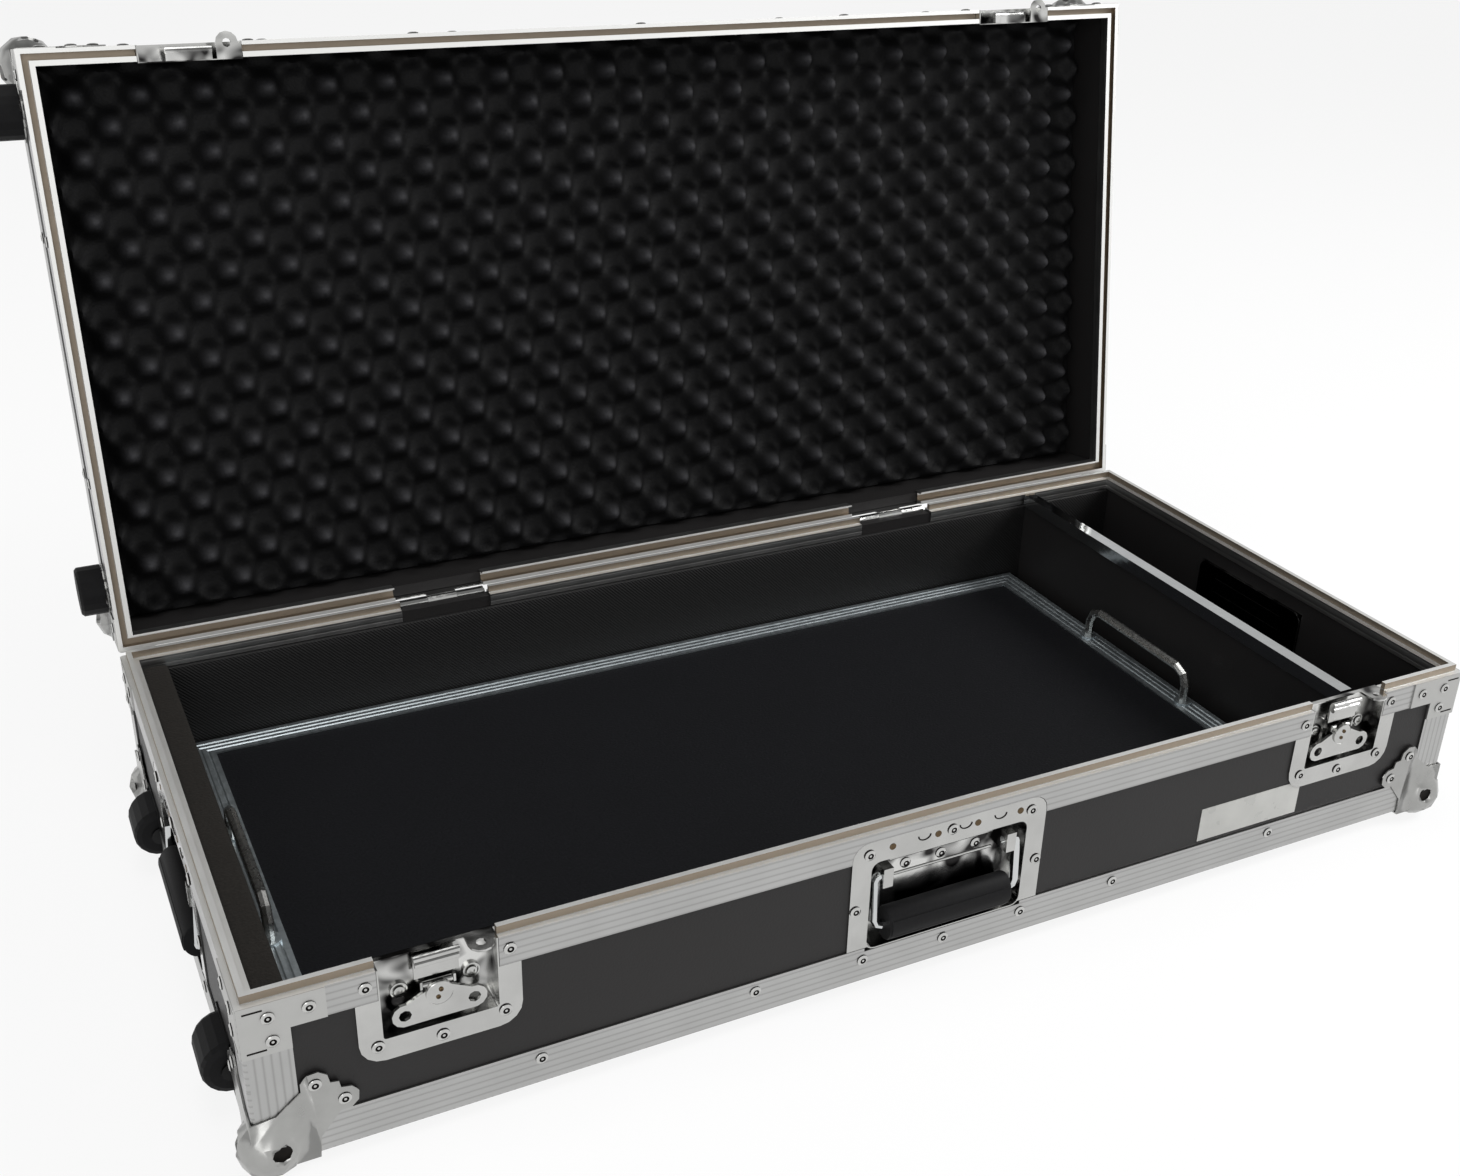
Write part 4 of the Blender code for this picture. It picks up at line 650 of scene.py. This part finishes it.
# %% Shape one rivet
RIVET_RADIUS = 0.0043
plain_start()
bpy.ops.mesh.primitive_cylinder_add(vertices=14, radius=RIVET_RADIUS, depth=0.0010, location=(0, 0, 0.0002))
rivet = bpy.context.object
bpy.ops.object.transform_apply(location=True)
bpy.ops.object.mode_set(mode="EDIT")
pick(rivet, lambda centre, normal: normal.z > 0.9)
for width, rise in ((0.0008, 0.0005), (0.0011, 0.0003), (0.0003, -0.0008), (0.0008, 0.0), (0.0003, 0.0006)):
    inset(width)
    shift(z=rise)
bpy.ops.object.mode_set(mode="OBJECT")
rivet.data.materials.append(rivet_steel)
rivet.data.materials.append(shadow_steel)
# Painted shade: the dimple faces and the rivet's sides take the dark steel, as painted shade in the dimple
# and a painted shadow round the edge.
for face in rivet.data.polygons:
    reach = face.center.xy.length
    face.material_index = int(0.0009 < reach < 0.0024 or abs(face.normal.z) < 0.3)
smooth(rivet, 50)
print("one rivet has", len(rivet.data.polygons), "faces")

# %% [markdown]
# ## Where the rivets go
# The picture shows them along the bottom flange, round the latch and handle
# plates, on the folded corner braces and on the two ears of each ball corner.
# Distances are measured along a wall from its middle, and up from the sole.

# %% List the rivets
BRACE_PROUD, BALL_PROUD = 0.0012, 0.0015
LATCH_AT = 0.3775
FLANGE_ROW = 0.0215
RIM_ROW = 0.0125
BALL_EAR = ((0.040, 0.0573), (0.0573, 0.040))


def spot_on(side, along, height, proud=0):
    """A spot on a wall, along from its middle and up from the sole, facing outward."""
    return wall_frame(side) @ Matrix.Translation((along, height, proud))


base_rivets = []
lid_rivets = []
half_of = {"front": LENGTH / 2, "rear": LENGTH / 2, "left": DEPTH / 2, "right": DEPTH / 2}
for along in (-0.313, -0.155, 0.155, 0.313):
    for side in ("front", "rear"):
        base_rivets.append(spot_on(side, along, FLANGE_ROW))
        lid_rivets.append(spot_on(side, along, LID_TOP - FLANGE_ROW))
for along in (-0.095, 0.095):
    base_rivets.append(spot_on("right", along, FLANGE_ROW))
    for side in ("left", "right"):
        lid_rivets += [spot_on(side, along, LID_TOP - FLANGE_ROW), spot_on(side, along, PARTING + RIM_ROW)]
base_rivets.append(spot_on("rear", 0, FLANGE_ROW))
for along in (-0.36, -0.12, 0.12, 0.36):
    base_rivets.append(spot_on("rear", along, BASE_HEIGHT - 0.012))
    lid_rivets.append(spot_on("rear", along, PARTING + 0.012))
for along in (-0.2, 0.0, 0.2):
    lid_rivets.append(spot_on("front", along, PARTING + RIM_ROW))
for centre in (-LATCH_AT, LATCH_AT):
    for along, height in ((-0.0462, 0.1185), (0.0462, 0.1185), (-0.0415, 0.0707), (0.0415, 0.0707),
                          (0, 0.0657)):
        base_rivets.append(spot_on("front", centre + along, height))
    for along in (-0.0462, 0.0462):
        lid_rivets.append(spot_on("front", centre + along, PARTING + RIM_ROW))
for side in ("front", "left", "right"):
    for along, height in ((-0.0685, 0.1115), (0.0685, 0.1115), (0, 0.1140), (-0.0773, 0.0656),
                          (0.0773, 0.0656), (-0.0685, 0.0200), (0.0685, 0.0200), (0, 0.0180)):
        base_rivets.append(spot_on(side, along, height))
for side, half in half_of.items():
    for end in (-1, 1):
        for along, height in ((0.0175, 0.118), (0.042, 0.118), (0.0188, 0.100)):
            base_rivets.append(spot_on(side, end * (half - along), height, BRACE_PROUD))
        lid_rivets.append(spot_on(side, end * (half - 0.0175), PARTING + 0.0115, BRACE_PROUD))
        for along, height in BALL_EAR:
            base_rivets.append(spot_on(side, end * (half - along), height, BALL_PROUD))
            lid_rivets.append(spot_on(side, end * (half - along), LID_TOP - height, BALL_PROUD))
for side_x in (-1, 1):
    for side_y in (-1, 1):
        for a, b in BALL_EAR:
            x, y = side_x * (LENGTH / 2 - a), side_y * (DEPTH / 2 - b)
            base_rivets.append(Matrix.Translation((x, y, -SOLE - BALL_PROUD)) @ Matrix.Rotation(pi, 4, "X"))
            lid_rivets.append(Matrix.Translation((x, y, LID_TOP - SOLE + BALL_PROUD)))
for along in (-0.3, -0.1, 0.1, 0.3):
    for row in (-1, 1):
        base_rivets.append(Matrix.Translation((along, row * (DEPTH / 2 - FLANGE_ROW), -SOLE))
                           @ Matrix.Rotation(pi, 4, "X"))
        lid_rivets.append(Matrix.Translation((along, row * (DEPTH / 2 - FLANGE_ROW), LID_TOP - SOLE)))
for centre in (-0.230, 0.230):
    for along in (-0.031, 0, 0.031):
        base_rivets.append(spot_on("rear", centre + along, BASE_HEIGHT - 0.028))
        lid_rivets.append(spot_on("rear", centre + along, PARTING + 0.026))

add_piece(copies(rivet, base_rivets, "base_rivets"), "base", None)
add_piece(copies(rivet, [lid_turn @ place for place in lid_rivets], "lid_rivets"), "lid", None)
print(len(base_rivets), "rivets on the base and", len(lid_rivets), "on the lid")

# %% [markdown]
# ## Smooth ball corners
# A ball corner is pressed from one sheet, so its ball is truly round, while the
# measured model turns it in flat facets. Each corner is copied, its loose
# triangles are merged, and the copy is shaded by angle: the ball becomes smooth
# and the edges of the ears stay crisp.

# %% Round the ball corners
balls = [name for name in nodes if "_ball_" in name]
for name in balls:
    plain_start()
    corner = bpy.data.objects.new(name + "_pressing", nodes[name].data.copy())
    scene.collection.objects.link(corner)
    bpy.context.view_layer.objects.active = corner
    corner.select_set(True)
    bpy.ops.object.mode_set(mode="EDIT")
    bpy.ops.mesh.select_all(action="SELECT")
    bpy.ops.mesh.remove_doubles(threshold=0.00002)
    bpy.ops.object.mode_set(mode="OBJECT")
    smooth(corner, 34)
    add_piece(corner, name.split("_")[0], corner_zinc)
    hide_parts(name)
print("rounded", len(balls), "corners")

# %% [markdown]
# ## Rubber grips
# The grip is a moulded rubber sleeve on the wire: oval, with rounded ends and
# a plain raised pad on its front. A cylinder is laid
# along the wall, its ends are stepped in, and the front faces are inset and
# lifted to make the pad.

# %% Shape one grip and copy it to three walls
GRIP_HALF_HEIGHT, GRIP_HALF_DEPTH, GRIP_LENGTH = 0.0138, 0.0104, 0.101
plain_start()
bpy.ops.mesh.primitive_cylinder_add(vertices=40, radius=1, depth=GRIP_LENGTH, rotation=(0, pi / 2, 0))
sleeve = bpy.context.object
bpy.ops.object.transform_apply(rotation=True)
sleeve.scale = (1, GRIP_HALF_HEIGHT, GRIP_HALF_DEPTH)
bpy.ops.object.transform_apply(scale=True)
bpy.ops.object.mode_set(mode="EDIT")
for end in (-1, 1):
    for wide, out in ((0.95, 0.0014), (0.82, 0.0010), (0.55, 0.0004)):
        pick(sleeve, lambda centre, normal: normal.x * end > 0.99)
        bpy.ops.mesh.extrude_region_move(TRANSFORM_OT_translate={"value": (end * out, 0, 0)})
        bpy.ops.transform.resize(value=(1, wide, wide))
pick(sleeve, lambda centre, normal: normal.z > 0.78)
inset(0.0022)
inset(0.0006)
shift(z=0.0005)
bpy.ops.object.mode_set(mode="OBJECT")
smooth(sleeve, 48)
for side in ("front", "left", "right"):
    made = copies(sleeve, [spot_on(side, 0, 0.047, -0.0012)], "handle_sleeve_" + side)
    add_piece(made, "handle_" + side, rubber)
    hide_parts("handle_grip_" + side)
bpy.data.objects.remove(sleeve)
print("sleeve is", [round(v * 1000, 1) for v in made.dimensions], "mm")

# %% [markdown]
# ## Convoluted foam in the lid
# The lid is lined with egg-crate foam. It is cut by a profiled wire between
# rollers, so its peaks stand in staggered rows and the valleys between them are
# the same shape upside down. A grid whose points follow the product of two
# cosines gives that form. Raising the product to powers narrows each peak to a
# round knob, and a little noise keeps the peaks from looking stamped.

# %% Shape the egg-crate foam
FOAM_PITCH, FOAM_ROW = 0.050, 0.0235
FOAM_EDGE = 0.0123
half_x = LENGTH / 2 - FOAM_EDGE
half_y = DEPTH / 2 - FOAM_EDGE
plain_start()
bpy.ops.mesh.primitive_grid_add(x_subdivisions=312, y_subdivisions=150, size=2)
crate = bpy.context.object
crate.scale = (half_x, half_y, 1)
bpy.ops.object.transform_apply(scale=True)
columns = round(2 * half_x / FOAM_PITCH)
rows = round(2 * half_y / FOAM_ROW)
for vertex in crate.data.vertices:
    x, y, _ = vertex.co
    u = (x + half_x) / (2 * half_x) * columns * 2 * pi
    v = (y + half_y) / (2 * half_y) * rows * pi
    wave = (cos(u) * cos(v) + 1) / 2
    rim = min(half_x - abs(x), half_y - abs(y)) / 0.012
    wobble = 0.0016 * noise.noise(Vector((x * 24, y * 24, 3.1)))
    knob = 0.55 * (wave * wave * (3 - 2 * wave)) ** 1.5 + 0.45 * wave ** 4
    vertex.co.z = FOAM_VALLEY - (FOAM_TALL * knob + wobble) * max(0.0, min(1.0, rim)) ** 0.6
bpy.ops.object.mode_set(mode="EDIT")
bpy.ops.mesh.select_all(action="SELECT")
bpy.ops.mesh.region_to_loop()
bpy.ops.mesh.extrude_edges_move(TRANSFORM_OT_translate={"value": (0, 0, FOAM_EDGE)})
bpy.ops.mesh.edge_face_add()
bpy.ops.mesh.select_all(action="SELECT")
bpy.ops.mesh.normals_make_consistent(inside=False)
bpy.ops.object.mode_set(mode="OBJECT")
crate.name = "lid_egg_crate_foam"
crate.data.transform(lid_turn)
smooth(crate, 60)
add_piece(crate, "lid", foam)
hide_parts("lid_foam")
print("foam has", columns, "waves by", rows, "half rows and", len(crate.data.polygons), "faces")

# %% [markdown]
# ## Soft linings
# The walls are lined with a thin soft sheet, the left end with a thick pad, and
# the floor under the board with a flat mat. Each starts as a block at its true
# size, gets rounded edges and a slightly uneven face, and is opened where a
# pressed dish or a roller box comes through the wall.

# %% Shape the linings


def soft_block(name, low, high, round_edge, cuts, push=0.0006, pieces=10):
    """A padded block with rounded edges, an uneven face, and openings for what it clears."""
    plain_start()
    low, high = Vector(low), Vector(high)
    bpy.ops.mesh.primitive_cube_add(size=1, location=(low + high) / 2, scale=high - low)
    block = bpy.context.object
    block.name = name
    bpy.ops.object.transform_apply(location=True, scale=True)
    bpy.ops.object.mode_set(mode="EDIT")
    bpy.ops.mesh.select_all(action="SELECT")
    bpy.ops.mesh.bevel(offset=round_edge, segments=3, affect="EDGES")
    bpy.ops.mesh.select_all(action="SELECT")
    bpy.ops.mesh.subdivide(number_cuts=pieces)
    bpy.ops.object.mode_set(mode="OBJECT")
    middle = (low + high) / 2
    half = (high - low) / 2
    for vertex in block.data.vertices:
        swell = noise.noise(vertex.co * 9) * push
        inward = middle - vertex.co
        for axis in range(3):
            share = abs(inward[axis]) / half[axis]
            if share > 0.98:
                vertex.co[axis] += (1 if inward[axis] > 0 else -1) * abs(swell)
    for cut_low, cut_high in cuts:
        cut_low, cut_high = Vector(cut_low), Vector(cut_high)
        plain_start()
        bpy.ops.mesh.primitive_cube_add(size=1, location=(cut_low + cut_high) / 2,
                                        scale=cut_high - cut_low)
        cutter = bpy.context.object
        opening = block.modifiers.new("opening", "BOOLEAN")
        opening.operation = "DIFFERENCE"
        opening.object = cutter
        settle(block)
        bpy.data.objects.remove(cutter)
    return smooth(block, 40)


def dish_cut(side, centre, half, low, high, deep=0.0139):
    """The block that a pressed dish takes out of a lining, in the model's own frame."""
    frame_of = wall_frame(side)
    first = frame_of @ Vector((centre - half, low, -deep))
    second = frame_of @ Vector((centre + half, high, 0.02))
    return ([min(a, b) for a, b in zip(first, second)], [max(a, b) for a, b in zip(first, second)])


latch_cuts = [dish_cut("front", centre, 0.0392, 0.0736, 0.140) for centre in (-LATCH_AT, LATCH_AT)]
low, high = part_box("lining_front")
front_sheet = soft_block("front_lining_sheet", low, high, 0.0012,
                         latch_cuts + [dish_cut("front", 0, 0.0674, 0.0271, 0.1049)], 0.0004)
low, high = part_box("lining_rear")
rear_sheet = soft_block("rear_lining_sheet", low, high, 0.0012, [], 0.0004)
low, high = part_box("left_pad")
wheel_cuts = [dish_cut("left", along, 0.0228, -0.01, 0.0482, 0.0245) for along in (-0.1435, 0.1435)]
end_pad = soft_block("left_end_pad", low, high, 0.0035,
                     wheel_cuts + [dish_cut("left", 0, 0.0674, 0.0271, 0.1049),
                                   dish_cut("left", 0, 0.3, 0.1180, 0.140, 0.0126)], 0.0009)
low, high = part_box("floor_pad")
floor_mat = soft_block("floor_mat", low, high, 0.003, [], 0.0006)
for piece, node in ((front_sheet, "lining_front"), (rear_sheet, "lining_rear"), (end_pad, "left_pad"),
                    (floor_mat, "floor_pad")):
    add_piece(piece, "base", lining if node != "left_pad" else pad_foam)
    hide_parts(node)
    print(piece.name, len(piece.data.polygons), "faces")

# %% [markdown]
# ## The blank name plate
# The front carries a thin printed label low on the right. Here it stays blank.
# It is a strip of white vinyl with rounded corners, so its own thickness gives
# it a fine edge and its gloss differs from the laminate round it.

# %% Shape the blank label
vinyl, tree, shader = new_material("white vinyl label")
place, _ = object_place(tree)
smudge = grain(tree, place, 22, 4)
tree.links.new(blend(tree, smudge, "#a6a6a3", "#c4c4c0"), shader.inputs["Base Color"])
tree.links.new(between(tree, smudge, 0.22, 0.36), shader.inputs["Roughness"])
emboss(tree, shader, smudge, 0.0001, 0.2)

plain_start()
LABEL_SIZE = (0.102, 0.030, 0.0005)
LABEL_PLACE = (0.289, 0.0485, -0.00125)
bpy.ops.mesh.primitive_cube_add(size=1, location=(0, 0, 0), scale=LABEL_SIZE)
label = bpy.context.object
label.name = "blank_label"
bpy.ops.object.transform_apply(scale=True)
bpy.ops.object.mode_set(mode="EDIT")
form = bmesh.from_edit_mesh(label.data)
for edge in form.edges:
    first, second = edge.verts
    edge.select = abs(first.co.z - second.co.z) > 0.0001
bmesh.update_edit_mesh(label.data)
bpy.ops.mesh.bevel(offset=0.002, segments=4, affect="EDGES")
pick(label, lambda centre, normal: normal.z > 0.9)
inset(0.0003)
shift(z=0.0001)
bpy.ops.object.mode_set(mode="OBJECT")
label.data.transform(spot_on("front", *LABEL_PLACE))
smooth(label)
add_piece(label, "base", vinyl)
print("label is", [round(v * 1000, 1) for v in label.dimensions], "mm")

# %% [markdown]
# ## Marks pressed into the fittings
# The handle plates are pierced and lanced above the opening, the backs of their
# pans have two stiffening creases with round bosses between, the braces have
# thin slots by the fold, and each ball corner has a screw socket in every face.
# The sockets, the slots and the lanced crescents are made in a dark steel as
# painted shade, and the pierced spots are brown. All are small, so each kind is
# shaped once and copied.

# %% Pierced spots, sockets and slots


def disc(radius, depth, lip, name):
    """A shallow cup: a short cylinder whose top is inset and pushed down."""
    plain_start()
    bpy.ops.mesh.primitive_cylinder_add(vertices=18, radius=radius, depth=depth, location=(0, 0, 0))
    cup = bpy.context.object
    cup.name = name
    bpy.ops.object.mode_set(mode="EDIT")
    pick(cup, lambda centre, normal: normal.z > 0.9)
    inset(lip)
    shift(z=-depth * 0.4)
    inset(radius * 0.4)
    shift(z=depth * 0.3)
    bpy.ops.object.mode_set(mode="OBJECT")
    return smooth(cup, 40)


hole_places = []
for side in ("front", "left", "right"):
    for along in (-0.0499, -0.0122, 0.0215, 0.0584):
        hole_places.append(spot_on(side, along, 0.1135, -0.0001))
pierced = disc(0.0026, 0.0004, 0.0006, "pierced")
add_piece(copies(pierced, hole_places, "handle_pierced_spots"), "base", bronze_edge)
bpy.data.objects.remove(pierced)

sockets = {"base": [], "lid": []}
for side, half in half_of.items():
    for end in (-1, 1):
        sockets["base"].append(spot_on(side, end * (half - 0.015), 0.015, 0.0061))
        sockets["lid"].append(lid_turn @ spot_on(side, end * (half - 0.015), LID_TOP - 0.015, 0.0061))
for side_x in (-1, 1):
    for side_y in (-1, 1):
        x, y = side_x * (LENGTH / 2 - 0.015), side_y * (DEPTH / 2 - 0.015)
        sockets["base"].append(Matrix.Translation((x, y, -SOLE - 0.0061)) @ Matrix.Rotation(pi, 4, "X"))
        sockets["lid"].append(lid_turn @ Matrix.Translation((x, y, LID_TOP - SOLE + 0.0061)))
socket = disc(0.0066, 0.0008, 0.0012, "socket")
# Painted shade: each socket pit is made in the dark steel.
for body, places in sockets.items():
    add_piece(copies(socket, places, body + "_corner_sockets"), body, shadow_steel)
bpy.data.objects.remove(socket)

plain_start()
bpy.ops.mesh.primitive_cube_add(size=1, scale=(0.012, 0.0014, 0.0003))
slit = bpy.context.object
bpy.ops.object.transform_apply(scale=True)
bpy.ops.object.mode_set(mode="EDIT")
bpy.ops.mesh.select_all(action="SELECT")
bpy.ops.mesh.bevel(offset=0.00012, segments=2, affect="EDGES")
bpy.ops.object.mode_set(mode="OBJECT")
slits = [spot_on(side, end * (half - 0.0090), height, BRACE_PROUD - 0.00005)
         for side, half in half_of.items() for end in (-1, 1) for height in (0.1245, 0.0945)]
# Painted shade: the slots are made in the dark steel.
add_piece(copies(slit, slits, "brace_slots"), "base", shadow_steel)
bpy.data.objects.remove(slit)
print(len(hole_places), "pierced spots,", len(sockets["base"]) * 2, "sockets,", len(slits), "slots")

# %% Lanced crescents and the creases behind the grips
plain_start()
bpy.ops.mesh.primitive_torus_add(major_radius=0.0050, minor_radius=0.0006, major_segments=20,
                                 minor_segments=8)
crescent = bpy.context.object
crescent.scale = (1, 0.75, 0.8)
bpy.ops.object.transform_apply(scale=True)
bpy.ops.object.mode_set(mode="EDIT")
bpy.ops.mesh.select_all(action="SELECT")
bpy.ops.mesh.bisect(plane_co=(0, 0, 0), plane_no=(0, 1, 0), use_fill=True, clear_outer=True)
bpy.ops.object.mode_set(mode="OBJECT")
smooth(crescent, 50)
lances = [spot_on(side, along, 0.1155, -0.0001) for side in ("front", "left", "right")
          for along in (-0.0238, 0.0110, 0.0409)]
# Painted shade: the lanced crescents are thin arcs in the dark steel.
add_piece(copies(crescent, lances, "handle_lanced_crescents"), "base", shadow_steel)
bpy.data.objects.remove(crescent)

plain_start()
bpy.ops.mesh.primitive_cylinder_add(vertices=16, radius=0.0013, depth=0.088, rotation=(0, pi / 2, 0))
crease = bpy.context.object
bpy.ops.object.transform_apply(rotation=True)
bpy.ops.object.mode_set(mode="EDIT")
pick(crease, lambda centre, normal: abs(normal.x) > 0.9)
inset(0.0004)
bpy.ops.transform.resize(value=(1.02, 0.4, 0.4))
bpy.ops.object.mode_set(mode="OBJECT")
crease.scale = (1, 1, 0.8)
bpy.ops.object.transform_apply(scale=True)
smooth(crease, 40)
creases = [spot_on(side, 0, height, -0.0125) for side in ("front", "left", "right")
           for height in (0.0790, 0.0930)]
add_piece(copies(crease, creases, "handle_pan_creases"), "base", nickel)
bpy.data.objects.remove(crease)
bosses = [spot_on(side, along, 0.0860, -0.0125) for side in ("front", "left", "right")
          for along in (-0.030, 0.0, 0.030)]
# The bosses are rivet copies, so they keep its painted shade ring.
add_piece(copies(rivet, bosses, "handle_pan_bosses"), "base", None)
print(len(lances), "crescents,", len(creases), "creases,", len(bosses), "bosses")

# %% [markdown]
# ## Fastenings of the latches
# Behind each butterfly two large ringed rivets hold the bracket to the dish,
# and two small ones hold the disc on which the butterfly turns. The small ones
# ride with the butterfly when it folds out.

# %% Shape the latch rivets
plain_start()
bpy.ops.mesh.primitive_cylinder_add(vertices=24, radius=0.0056, depth=0.0020, location=(0, 0, 0.0010))
drum = bpy.context.object
bpy.ops.object.transform_apply(location=True)
bpy.ops.object.mode_set(mode="EDIT")
pick(drum, lambda centre, normal: normal.z > 0.9)
for width, rise in ((0.0010, 0.0), (0.0002, -0.0012), (0.0008, 0.0), (0.0002, 0.0022), (0.0014, 0.0002),
                    (0.0002, -0.0010)):
    inset(width)
    shift(z=rise)
bpy.ops.object.mode_set(mode="OBJECT")
smooth(drum, 40)
drums = [spot_on("front", centre + along, 0.1010, -0.0125) for centre in (-LATCH_AT, LATCH_AT)
         for along in (-0.0235, 0.0235)]
add_piece(copies(drum, drums, "latch_ringed_rivets"), "base", nickel)
bpy.data.objects.remove(drum)

plain_start()
bpy.ops.mesh.primitive_cylinder_add(vertices=40, radius=0.0087, depth=0.0012, location=(0, 0, 0.0006))
cap = bpy.context.object
bpy.ops.object.transform_apply(location=True)
bpy.ops.object.mode_set(mode="EDIT")
pick(cap, lambda centre, normal: normal.z > 0.9)
inset(0.0005)
shift(z=0.0003)
inset(0.0006)
shift(z=-0.0002)
bpy.ops.object.mode_set(mode="OBJECT")
smooth(cap, 40)
small = Matrix.Diagonal((0.36, 0.36, 0.6, 1))
for name, centre in (("left", -LATCH_AT), ("right", LATCH_AT)):
    turntable = copies(cap, [spot_on("front", centre, 0.0977, -0.0030)], "butterfly_disc_" + name)
    add_piece(turntable, "butterfly_" + name, nickel)
    spots = [spot_on("front", centre + along, height, -0.0017) @ small
             for along, height in ((0.0010, 0.1003), (-0.0010, 0.0950))]
    add_piece(copies(rivet, spots, "butterfly_rivets_" + name), "butterfly_" + name, bronze_edge)
bpy.data.objects.remove(cap)
print(len(drums), "ringed rivets, two discs and four small rivets")

# %% [markdown]
# ## Removing the master rivet
# Its copies are all placed, so the master rivet that they were made from is removed.

# %% Remove the master rivet
bpy.data.objects.remove(rivet)
